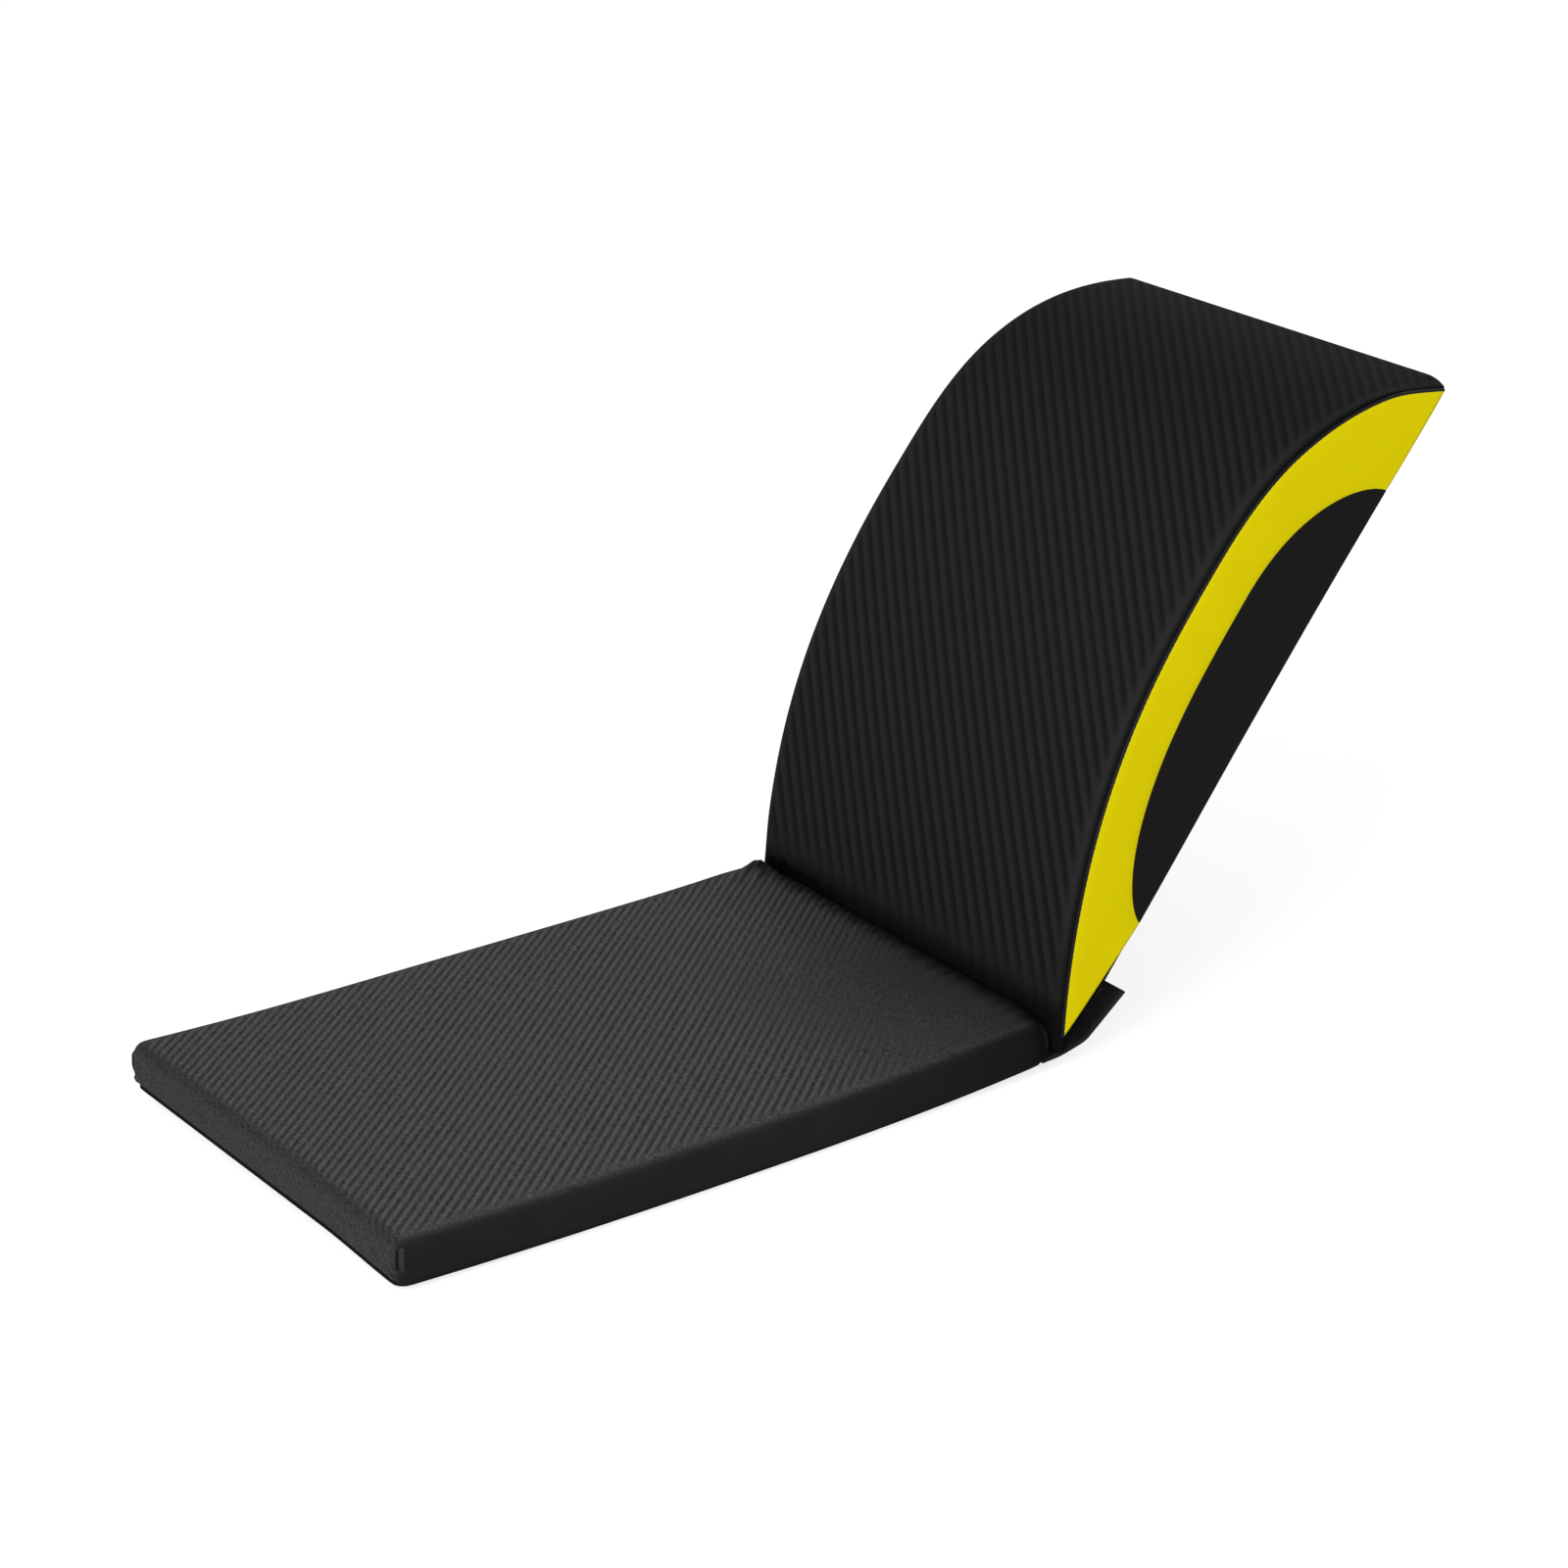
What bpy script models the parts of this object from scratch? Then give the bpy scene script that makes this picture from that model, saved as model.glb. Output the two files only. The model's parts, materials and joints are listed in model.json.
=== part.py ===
"""Folding sit-up mat: a flat padded slab and a domed foam wedge, joined by a sewn fabric flap.

The slab lies on the floor and the wedge stands half raised on its hinge line, its domed face
against the slab's end. The wedge tips down about that line until its base lies flat on the floor.

Frame: origin at the centre of the slab's flat underside, +X towards the wedge, +Z up, in metres.
The wedge's pieces are drawn in the wedge's own frame, X along its base and Z square to it, and
hang on an empty that stands on the hinge line.
"""

import math

import bmesh
import bpy
import numpy as np

MM = 0.001

# Slab
WIDTH = 250 * MM
PAD_LENGTH = 383 * MM
PAD_EDGE_HEIGHT = 25.5 * MM
PAD_CROWN = 2.2 * MM
PAD_CROWN_POWER = 4
PAD_BULGE = 2.0 * MM
PAD_CORNER_RADIUS = 7 * MM
PAD_TOP_ROUND = 6 * MM
PAD_BOTTOM_ROUND = 4 * MM
PAD_HEM = 14 * MM
WELT_RADIUS = 0.8 * MM
WELT_END_CLEARANCE = 1.5 * MM

# Wedge, along its base from where the dome's curve would meet it
DOME_LENGTH = 404 * MM
DOME_HEIGHT = 83.4 * MM
DOME_TOP_SHARE = 0.594
DOME_FRONT_POWER = 2.4
DOME_REAR_POWER = 3.0
DOME_SHOULDER = 7 * MM
INSET_FRONT_MARGIN = 87 * MM
INSET_REAR_MARGIN = 66 * MM
INSET_RIM = 33.4 * MM
INSET_TOP_SHARE = 0.657
INSET_FRONT_POWERS = (3.0, 1.55)
INSET_REAR_POWERS = (2.1, 1.5)

# Cloths and foams
COVER = 1.2 * MM
SIDE_CLOTH = 1.2 * MM
BASE_CLOTH = 1.5 * MM
FLAP = 1.8 * MM
TAPE = 1.0 * MM
SEAT = 0.3 * MM

# Hinge
WEDGE_TILT = math.radians(51.4)
HINGE_BEHIND_PAD = 5.2 * MM
HINGE_HEIGHT = 4.7 * MM
TIP_OVER_HINGE = 3.9 * MM
FLAP_REACH = 50 * MM
FLAP_RISE = 27 * MM
FLAP_SIDE_MARGIN = 1.0 * MM
HOOK_TAPE_WIDTH = 25 * MM
LOOP_TAPE_WIDTH = 40 * MM
TAPE_MARGIN = 12 * MM
TAPE_END_MARGIN = 5 * MM

# Fineness of the curves, and how corners and levels are told apart
DOME_STEPS = 40
DOME_STATIONS = 34
SUPER_STEPS = 12
FLAP_STEPS = 14
ROUND_STEPS = 3
WELT_SIDES = 10
PAD_CELLS_LONG = 12
PAD_CELLS_WIDE = 8
ROUND_PROFILE = 0.5
SHARP_ANGLE = math.radians(40)
CORNER_ANGLE = math.radians(60)
LEVEL_TOLERANCE = 0.03 * MM

PAD_END = PAD_LENGTH / 2
HINGE_X = PAD_END + HINGE_BEHIND_PAD
DOME_TOP_AT = DOME_LENGTH * DOME_TOP_SHARE

BLACK_COVER = ("black_embossed_leathercloth", (0.030, 0.030, 0.031), 0.55)
BLACK_RIBBED = ("black_ribbed_leathercloth", (0.018, 0.018, 0.019), 0.55)
BLACK_BASE = ("black_nonslip_cloth", (0.012, 0.012, 0.013), 0.75)
YELLOW_SIDE = ("yellow_leathercloth", (0.67, 0.56, 0.005), 0.5)
BLACK_SIDE = ("black_smooth_leathercloth", (0.014, 0.014, 0.015), 0.5)
FOAM = ("grey_foam", (0.35, 0.35, 0.36), 0.9)
TAPE_BLACK = ("black_fastening_tape", (0.010, 0.010, 0.010), 0.9)


def clear_scene():
    """Empties the scene of its objects."""
    for thing in list(bpy.data.objects):
        bpy.data.objects.remove(thing, do_unlink=True)


def material_of(finish):
    """The Principled material of a finish, made once."""
    name, colour, roughness = finish
    if name in bpy.data.materials:
        return bpy.data.materials[name]
    material = bpy.data.materials.new(name)
    material.use_nodes = True
    shader = material.node_tree.nodes["Principled BSDF"]
    shader.inputs["Base Color"].default_value = (*colour, 1)
    shader.inputs["Roughness"].default_value = roughness
    return material


def add_object(name, bm, finish, parent=None):
    """An object of this bmesh, smooth shaded but for its sharp edges."""
    bmesh.ops.recalc_face_normals(bm, faces=bm.faces)
    mesh = bpy.data.meshes.new(name)
    bm.to_mesh(mesh)
    bm.free()
    mesh.shade_smooth()
    mesh.set_sharp_from_angle(angle=SHARP_ANGLE)
    mesh.materials.append(material_of(finish))
    thing = bpy.data.objects.new(name, mesh)
    bpy.context.scene.collection.objects.link(thing)
    thing.parent = parent
    return thing


def add_thickness(thing, thickness):
    """Gives an open skin its cloth, laid on the outside of the surface."""
    cloth = thing.modifiers.new("cloth", "SOLIDIFY")
    cloth.thickness = thickness
    cloth.offset = 1
    cloth.use_even_offset = True
    return cloth


def round_edges(bm, edges, radius, steps=ROUND_STEPS):
    """Rounds these edges."""
    bmesh.ops.bevel(
        bm,
        geom=edges,
        offset=radius,
        offset_type="OFFSET",
        segments=steps,
        profile=ROUND_PROFILE,
        affect="EDGES",
        clamp_overlap=True,
    )


def prism(outline, half_width):
    """A bmesh of an outline in X and Z, carried across the width along Y."""
    bm = bmesh.new()
    corners = [bm.verts.new((x, -half_width, z)) for x, z in outline]
    face = bm.faces.new(corners)
    swept = bmesh.ops.extrude_face_region(bm, geom=[face])
    moved = [item for item in swept["geom"] if isinstance(item, bmesh.types.BMVert)]
    bmesh.ops.translate(bm, verts=moved, vec=(0, 2 * half_width, 0))
    return bm


def sheet(outline, side, outer, thickness):
    """A bmesh of a flat cloth with this outline, standing in the plane Y = side * outer."""
    bm = bmesh.new()
    corners = [bm.verts.new((x, side * (outer - thickness), z)) for x, z in outline]
    face = bm.faces.new(corners)
    swept = bmesh.ops.extrude_face_region(bm, geom=[face])
    moved = [item for item in swept["geom"] if isinstance(item, bmesh.types.BMVert)]
    bmesh.ops.translate(bm, verts=moved, vec=(0, side * thickness, 0))
    return bm


# The slab's form


def pad_form(point):
    """Where a point of a straight-sided slab lies on the padded one.

    The top is crowned, and the long sides bulge outwards between their corners.
    """
    x, y, z = point
    along = x / PAD_END
    across = y / (WIDTH / 2)
    crown = PAD_CROWN * (1 - along**PAD_CROWN_POWER) * (1 - across**PAD_CROWN_POWER)
    bulge = PAD_BULGE * (1 - along**2)
    return x, y + bulge * across, z + crown * z / PAD_EDGE_HEIGHT


def pad_block(shrink, low, high):
    """A bmesh of the slab's block, that much smaller all round, rounded but not yet formed."""
    half_length = PAD_END - shrink
    half_width = WIDTH / 2 - shrink
    bm = bmesh.new()
    bmesh.ops.create_grid(
        bm, x_segments=PAD_CELLS_LONG, y_segments=PAD_CELLS_WIDE, size=half_length
    )
    for vertex in bm.verts:
        vertex.co.y *= half_width / half_length
        vertex.co.z = low
    swept = bmesh.ops.extrude_face_region(bm, geom=bm.faces[:])
    moved = [item for item in swept["geom"] if isinstance(item, bmesh.types.BMVert)]
    bmesh.ops.translate(bm, verts=moved, vec=(0, 0, high - low))
    bmesh.ops.recalc_face_normals(bm, faces=bm.faces)
    upright = [
        edge
        for edge in bm.edges
        if edge.calc_face_angle() > CORNER_ANGLE and not lies_at(edge, edge.verts[0].co.z)
    ]
    round_edges(bm, upright, PAD_CORNER_RADIUS - shrink)
    return bm


def lies_at(item, level):
    """Whether every corner of this edge or face lies at the level."""
    return all(abs(vertex.co.z - level) < LEVEL_TOLERANCE for vertex in item.verts)


def rim_edges(bm, level):
    """The sharp edges that run round the block at this height."""
    return [
        edge for edge in bm.edges if edge.calc_face_angle() > CORNER_ANGLE and lies_at(edge, level)
    ]


def form_pad(bm):
    """Moves every point of a block to the padded slab's form."""
    for vertex in bm.verts:
        vertex.co = pad_form(vertex.co)


def make_pad_foam():
    shrink = COVER + SEAT
    low = BASE_CLOTH + COVER + 2 * SEAT
    high = PAD_EDGE_HEIGHT - COVER - SEAT
    bm = pad_block(shrink, low, high)
    round_edges(bm, rim_edges(bm, high), PAD_TOP_ROUND - shrink)
    round_edges(bm, rim_edges(bm, low), PAD_BOTTOM_ROUND - shrink)
    form_pad(bm)
    return add_object("pad_foam", bm, FOAM)


def largest_face(bm):
    return max(bm.faces, key=lambda face: face.calc_area())


def make_pad_cover():
    """The top cloth, wrapped over the sides and turned under as a hem.

    The hem is turned under in two steps, and the rounded corners' points are joined in between.
    """
    low = BASE_CLOTH + SEAT + COVER
    high = PAD_EDGE_HEIGHT - COVER
    bm = pad_block(COVER, low, high)
    floor = [face for face in bm.faces if lies_at(face, low)]
    bmesh.ops.dissolve_faces(bm, faces=floor)
    round_edges(bm, rim_edges(bm, high), PAD_TOP_ROUND - COVER)
    round_edges(bm, rim_edges(bm, low), PAD_BOTTOM_ROUND - COVER)
    bmesh.ops.inset_region(
        bm, faces=[largest_face(bm)], thickness=PAD_CORNER_RADIUS - PAD_BOTTOM_ROUND
    )
    bmesh.ops.remove_doubles(bm, verts=largest_face(bm).verts, dist=COVER)
    bmesh.ops.inset_region(bm, faces=[largest_face(bm)], thickness=PAD_HEM - PAD_CORNER_RADIUS)
    bmesh.ops.delete(bm, geom=[largest_face(bm)], context="FACES")
    form_pad(bm)
    cover = add_object("pad_cover", bm, BLACK_COVER)
    add_thickness(cover, COVER)
    return cover


def make_pad_base():
    """The non-slip cloth that the slab lies on."""
    bm = pad_block(SEAT, 0, BASE_CLOTH)
    form_pad(bm)
    return add_object("pad_base", bm, BLACK_BASE)


def make_corner_welts():
    """The sewn welt down each corner of the slab's cover."""
    arc = PAD_CORNER_RADIUS + SEAT + WELT_RADIUS
    low = BASE_CLOTH + SEAT + PAD_BOTTOM_ROUND + WELT_END_CLEARANCE
    high = PAD_EDGE_HEIGHT - PAD_TOP_ROUND - WELT_END_CLEARANCE
    reach = arc / math.sqrt(2)
    for number, (end, side) in enumerate(((-1, -1), (-1, 1), (1, -1), (1, 1)), start=1):
        bm = bmesh.new()
        bmesh.ops.create_cone(
            bm,
            cap_ends=True,
            segments=WELT_SIDES,
            radius1=WELT_RADIUS,
            radius2=WELT_RADIUS,
            depth=high - low,
        )
        welt = add_object(f"pad_corner_welt_{number}", bm, BLACK_COVER)
        welt.location = (
            end * (PAD_END - PAD_CORNER_RADIUS + reach),
            side * (WIDTH / 2 - PAD_CORNER_RADIUS + reach),
            (low + high) / 2,
        )


# The flap


def flap_arc():
    """The circle of the flap's outer face: its radius and its centre's X and Z.

    It leaves the slab's end level and reaches FLAP_REACH back and FLAP_RISE up. Its inner face
    passes SEAT below the wedge's front edge, where the two are hinged.
    """
    radius = (FLAP_REACH**2 + FLAP_RISE**2) / (2 * FLAP_RISE)
    front_edge = HINGE_HEIGHT + SEAT * math.sin(WEDGE_TILT)
    inner_face = front_edge - SEAT
    return radius, PAD_END + SEAT, inner_face + math.sqrt((radius - FLAP) ** 2 - HINGE_BEHIND_PAD**2)


def arc_band(outer, inner, start, end):
    """The outline of a band between two radii about the flap's centre, by angle from straight down."""
    _, centre_x, centre_z = flap_arc()
    angles = np.linspace(start, end, FLAP_STEPS + 1)
    ring = np.stack([np.sin(angles), -np.cos(angles)], axis=1)
    points = np.concatenate([outer * ring, inner * ring[::-1]])
    return points + (centre_x, centre_z)


def flap_end_angle():
    radius = flap_arc()[0]
    return math.asin(FLAP_REACH / radius)


def make_flap():
    radius = flap_arc()[0]
    band = arc_band(radius, radius - FLAP, 0, flap_end_angle())
    bm = prism(band, WIDTH / 2 - FLAP_SIDE_MARGIN)
    return add_object("hinge_flap", bm, BLACK_BASE)


def make_hook_tape():
    """The hook tape on the flap's inner face, near its free end."""
    face = flap_arc()[0] - FLAP - SEAT
    end = flap_end_angle() - TAPE_END_MARGIN / face
    start = end - HOOK_TAPE_WIDTH / face
    bm = prism(arc_band(face, face - TAPE, start, end), WIDTH / 2 - TAPE_MARGIN)
    return add_object("flap_hook_tape", bm, TAPE_BLACK)


# The wedge's form, in its own frame


def dome_curve():
    """Points of the dome's outer curve, from the tip over the top to the steep end.

    Height = DOME_HEIGHT (1 - s ** power), where s runs from 1 at either end to 0 at the top.
    """
    turn = np.linspace(0, np.pi / 2, DOME_STEPS + 1)
    front = DOME_TOP_AT * (1 - np.cos(turn))
    rear = (DOME_LENGTH - DOME_TOP_AT) * np.sin(turn)[1:]
    front_height = DOME_HEIGHT * (1 - (1 - front / DOME_TOP_AT) ** DOME_FRONT_POWER)
    rear_share = rear / (DOME_LENGTH - DOME_TOP_AT)
    rear_height = DOME_HEIGHT * (1 - rear_share**DOME_REAR_POWER)
    along = np.concatenate([front, DOME_TOP_AT + rear]) - TIP_OVER_HINGE
    return np.stack([along, np.concatenate([front_height, rear_height])], axis=1)


def set_in(curve, distance):
    """The curve moved inwards by this distance, square to itself."""
    way = np.gradient(curve, axis=0)
    way /= np.linalg.norm(way, axis=1)[:, None]
    return curve + distance * np.stack([way[:, 1], -way[:, 0]], axis=1)


def trimmed(curve, axis, limit):
    """The stretch of the curve whose coordinate on this axis is over the limit, cut at it."""
    inside = np.flatnonzero(curve[:, axis] > limit)
    first, last = inside[0], inside[-1]
    kept = [curve[first : last + 1]]
    if first > 0:
        kept.insert(0, crossing(curve[first - 1], curve[first], axis, limit))
    if last < len(curve) - 1:
        kept.append(crossing(curve[last], curve[last + 1], axis, limit))
    return np.concatenate(kept)


def crossing(a, b, axis, limit):
    """The point where the line from a to b meets the limit, as a row."""
    share = (limit - a[axis]) / (b[axis] - a[axis])
    return (a + share * (b - a))[None]


def dome_arch(distance, base, nose):
    """The dome's curve set in by distance, cut off at its base and at its nose."""
    return trimmed(trimmed(set_in(dome_curve(), distance), 1, base), 0, nose)


def dome_path(distance, base, nose):
    """DOME_STATIONS points from the foot of the nose over the dome to its steep end.

    They stand closest together at both ends, where the form turns most.
    """
    arch = dome_arch(distance, base, nose)
    if arch[0, 1] > base:
        arch = np.concatenate([[(nose, base)], arch])
    steps = np.linalg.norm(np.diff(arch, axis=0), axis=1)
    run = np.concatenate([[0], np.cumsum(steps)])
    share = (1 - np.cos(np.linspace(0, np.pi, DOME_STATIONS))) / 2
    wanted = share * run[-1]
    return np.stack([np.interp(wanted, run, arch[:, axis]) for axis in (0, 1)], axis=1)


def dome_rings(distance, base, nose, half_width, radius):
    """The dome's path at each step over one shoulder, across the top and down the other."""
    turn = np.linspace(0, np.pi / 2, ROUND_STEPS + 1)
    rings = []
    for angle in turn:
        path = dome_path(distance + radius * (1 - np.sin(angle)), base, nose)
        level = half_width - radius * (1 - np.cos(angle))
        rings.append((level, path))
    return rings + [(-level, path) for level, path in rings[::-1]]


def loft(rings, closed):
    """A bmesh of quads between neighbouring rings, with both ends capped if they are closed."""
    bm = bmesh.new()
    rows = [[bm.verts.new((x, level, z)) for x, z in path] for level, path in rings]
    count = len(rows[0])
    last = count if closed else count - 1
    for row, following in zip(rows, rows[1:]):
        for i in range(last):
            j = (i + 1) % count
            bm.faces.new((row[i], row[j], following[j], following[i]))
    if closed:
        bm.faces.new(rows[0])
        bm.faces.new(rows[-1])
    return bm


def make_wedge_foam(pivot):
    inset = COVER + SEAT
    half_width = WIDTH / 2 - SIDE_CLOTH - SEAT
    rings = dome_rings(inset, BASE_CLOTH + SEAT, SEAT + inset, half_width, DOME_SHOULDER - inset)
    return add_object("wedge_foam", loft(rings, closed=True), FOAM, pivot)


def make_dome_cover(pivot):
    """The ribbed cloth over the dome and its shoulders, open below and at the sides."""
    base = BASE_CLOTH + SEAT
    half_width = WIDTH / 2 - COVER
    rings = dome_rings(COVER, base, SEAT + COVER, half_width, DOME_SHOULDER - COVER)
    cover = add_object("dome_cover", loft(rings, closed=False), BLACK_RIBBED, pivot)
    add_thickness(cover, COVER)
    return cover


def make_wedge_base(pivot):
    """The non-slip cloth under the wedge, between its two sides."""
    rear = dome_arch(0, 0, SEAT)[-1]
    rear_top = dome_arch(0, BASE_CLOTH, SEAT)[-1]
    outline = [(SEAT, 0), tuple(rear), tuple(rear_top), (SEAT, BASE_CLOTH)]
    bm = prism(outline, WIDTH / 2 - SIDE_CLOTH - SEAT)
    return add_object("wedge_base", bm, BLACK_BASE, pivot)


def inset_curve(grow):
    """The arch of the black inset in each side: a half oval whose powers square its shoulders."""
    turn = np.linspace(0, np.pi / 2, SUPER_STEPS + 1)
    height = DOME_HEIGHT - INSET_RIM + grow
    front_power, front_rise = INSET_FRONT_POWERS
    rear_power, rear_rise = INSET_REAR_POWERS
    length = DOME_LENGTH - INSET_FRONT_MARGIN - INSET_REAR_MARGIN
    top_at = INSET_FRONT_MARGIN + length * INSET_TOP_SHARE
    front = length * INSET_TOP_SHARE + grow
    rear = length * (1 - INSET_TOP_SHARE) + grow
    x_front = top_at - front * np.cos(turn) ** (2 / front_power)
    z_front = height * np.sin(turn) ** (2 / front_rise)
    x_rear = top_at + rear * np.sin(turn[1:]) ** (2 / rear_power)
    z_rear = height * np.cos(turn[1:]) ** (2 / rear_rise)
    along = np.concatenate([x_front, x_rear]) - TIP_OVER_HINGE
    return np.stack([along, np.concatenate([z_front, z_rear])], axis=1)


def make_sides(pivot):
    """Each side's yellow arch and the black inset that it frames, flush with each other."""
    arch = dome_arch(DOME_SHOULDER + SEAT, 0, SEAT)
    window = inset_curve(SEAT)
    inset = inset_curve(0)
    for word, side in (("left", -1), ("right", 1)):
        frame = np.concatenate([arch, window[::-1]])
        bm = sheet(frame, side, WIDTH / 2, SIDE_CLOTH)
        add_object(f"side_panel_{word}", bm, YELLOW_SIDE, pivot)
        bm = sheet(inset, side, WIDTH / 2, SIDE_CLOTH)
        add_object(f"side_inset_{word}", bm, BLACK_SIDE, pivot)


def make_loop_tape(pivot):
    """The loop tape under the wedge that the flap's hooks take hold of."""
    start = FLAP_REACH + TAPE_END_MARGIN - LOOP_TAPE_WIDTH
    outline = [
        (start, -SEAT - TAPE),
        (start + LOOP_TAPE_WIDTH, -SEAT - TAPE),
        (start + LOOP_TAPE_WIDTH, -SEAT),
        (start, -SEAT),
    ]
    bm = prism(outline, WIDTH / 2 - TAPE_MARGIN)
    return add_object("wedge_loop_tape", bm, TAPE_BLACK, pivot)


def main():
    clear_scene()
    make_pad_foam()
    make_pad_cover()
    make_pad_base()
    make_corner_welts()
    make_flap()
    make_hook_tape()
    pivot = bpy.data.objects.new("wedge_pivot", None)
    bpy.context.scene.collection.objects.link(pivot)
    pivot.location = (HINGE_X, 0, HINGE_HEIGHT)
    pivot.rotation_euler = (0, -WEDGE_TILT, 0)
    make_wedge_foam(pivot)
    make_dome_cover(pivot)
    make_wedge_base(pivot)
    make_sides(pivot)
    make_loop_tape(pivot)


main()
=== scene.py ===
"""The looks of a folding sit-up mat: a padded slab and a domed wedge in embossed leathercloth.

The file is laid out as an add-on and run as a script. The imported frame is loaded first, every
surface is worked out with numpy around it, and each operator makes one piece or group of pieces.
"""

import json
import math

import bmesh
import bpy
import numpy as np
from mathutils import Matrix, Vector


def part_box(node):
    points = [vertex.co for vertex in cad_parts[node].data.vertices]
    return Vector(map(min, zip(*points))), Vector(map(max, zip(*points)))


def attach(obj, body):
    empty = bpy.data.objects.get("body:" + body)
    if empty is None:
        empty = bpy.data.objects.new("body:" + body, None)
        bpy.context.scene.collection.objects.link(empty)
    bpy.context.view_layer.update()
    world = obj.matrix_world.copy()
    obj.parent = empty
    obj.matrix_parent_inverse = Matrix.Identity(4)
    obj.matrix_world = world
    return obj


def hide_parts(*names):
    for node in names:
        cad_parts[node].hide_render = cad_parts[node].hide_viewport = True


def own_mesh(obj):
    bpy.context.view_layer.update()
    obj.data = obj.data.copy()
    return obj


bl_info = {
    "name": "Sit-up mat",
    "version": (1, 0, 0),
    "blender": (4, 5, 0),
    "location": "3D View > Sidebar > Mat",
    "description": "Dresses a folding sit-up mat: slab, domed wedge, flap, seams and stage",
    "category": "Object",
}

MM = 0.001

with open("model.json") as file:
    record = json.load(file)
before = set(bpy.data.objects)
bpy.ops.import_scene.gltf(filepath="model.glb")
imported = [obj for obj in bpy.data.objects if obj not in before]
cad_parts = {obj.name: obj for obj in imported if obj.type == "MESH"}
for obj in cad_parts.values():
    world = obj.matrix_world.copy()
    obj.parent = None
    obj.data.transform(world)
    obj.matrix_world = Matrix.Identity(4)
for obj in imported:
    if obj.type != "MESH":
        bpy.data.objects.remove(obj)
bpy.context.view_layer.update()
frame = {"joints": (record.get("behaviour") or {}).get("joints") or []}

# Places that the frame gives
HINGE = np.array(frame["joints"][0]["pos_m"])
SLAB_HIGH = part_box("pad_cover")[1]
SLAB_END = SLAB_HIGH.x
HALF_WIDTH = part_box("side_panel_right")[1].y
BASE_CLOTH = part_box("pad_base")[1].z
FLAP_LOW, FLAP_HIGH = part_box("hinge_flap")

# Small distances shared by several pieces
SEAT = 0.3 * MM
WELD = 0.0137 * MM
# The foam's swelling: the cloth's settings, its size at the start, the number of steps, the
# longest move that is kept, and how far a move spreads
SWELL_CLOTH = {
    "use_pressure": True,
    "uniform_pressure_force": 4.0,
    "quality": 5,
    "tension_stiffness": 30,
    "compression_stiffness": 30,
    "bending_stiffness": 2,
}
SWELL_START = 0.995
SWELL_FRAMES = 20
SWELL_CAP = 0.9 * MM
SWELL_REACH = 14 * MM
# Hem stitches: from one to the next, a stitch's length, and the thread's radius
STITCH_PITCH = 3.6 * MM
STITCH_LENGTH = 2.7 * MM
THREAD = 0.28 * MM
# A hem runs this many grid cells inside its cloth's rim
HEM_CELLS = 2
SIDE_CLOTH = 1.2 * MM
FLAP_CLOTH = 1.8 * MM
TAPE_CLOTH = 1.0 * MM

# The tapes: widths, distance from the flap's end and from the hinge, and the grid of their pile
HOOK_WIDTH = 25 * MM
LOOP_WIDTH = 40 * MM
HOOK_MARGIN = 5 * MM
LOOP_START = 15 * MM
PILE_COLUMNS = 441

# The photographed view
VIEW_AZIMUTH = math.radians(-36.068)
VIEW_ELEVATION = math.radians(22.629)
VIEW_DISTANCE = 1.96304
VIEW_TARGET = (0.11701, 0.0, 0.13441)
SENSOR = 36.0
LENS = 88.82


def linear(hex_colour):
    """An sRGB hex colour as linear red, green and blue."""
    share = np.array([int(hex_colour[i : i + 2], 16) / 255 for i in (1, 3, 5)])
    low = share / 12.92
    high = ((share + 0.055) / 1.055) ** 2.4
    return tuple(float(value) for value in np.where(share <= 0.04045, low, high))


def length(name, description, default):
    """A length that a user may change."""
    return bpy.props.FloatProperty(
        name=name, description=description, default=default, unit="LENGTH", precision=5
    )


def turned(name, description, degrees):
    """An angle that a user may change."""
    return bpy.props.FloatProperty(
        name=name, description=description, default=math.radians(degrees), unit="ROTATION"
    )


def ratio(name, description, default):
    """A plain number that a user may change."""
    return bpy.props.FloatProperty(name=name, description=description, default=default)


def colour(name, description, hex_colour):
    """A colour that a user may change."""
    return bpy.props.FloatVectorProperty(
        name=name,
        description=description,
        default=linear(hex_colour),
        subtype="COLOR",
        min=0,
        max=1,
    )


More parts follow.
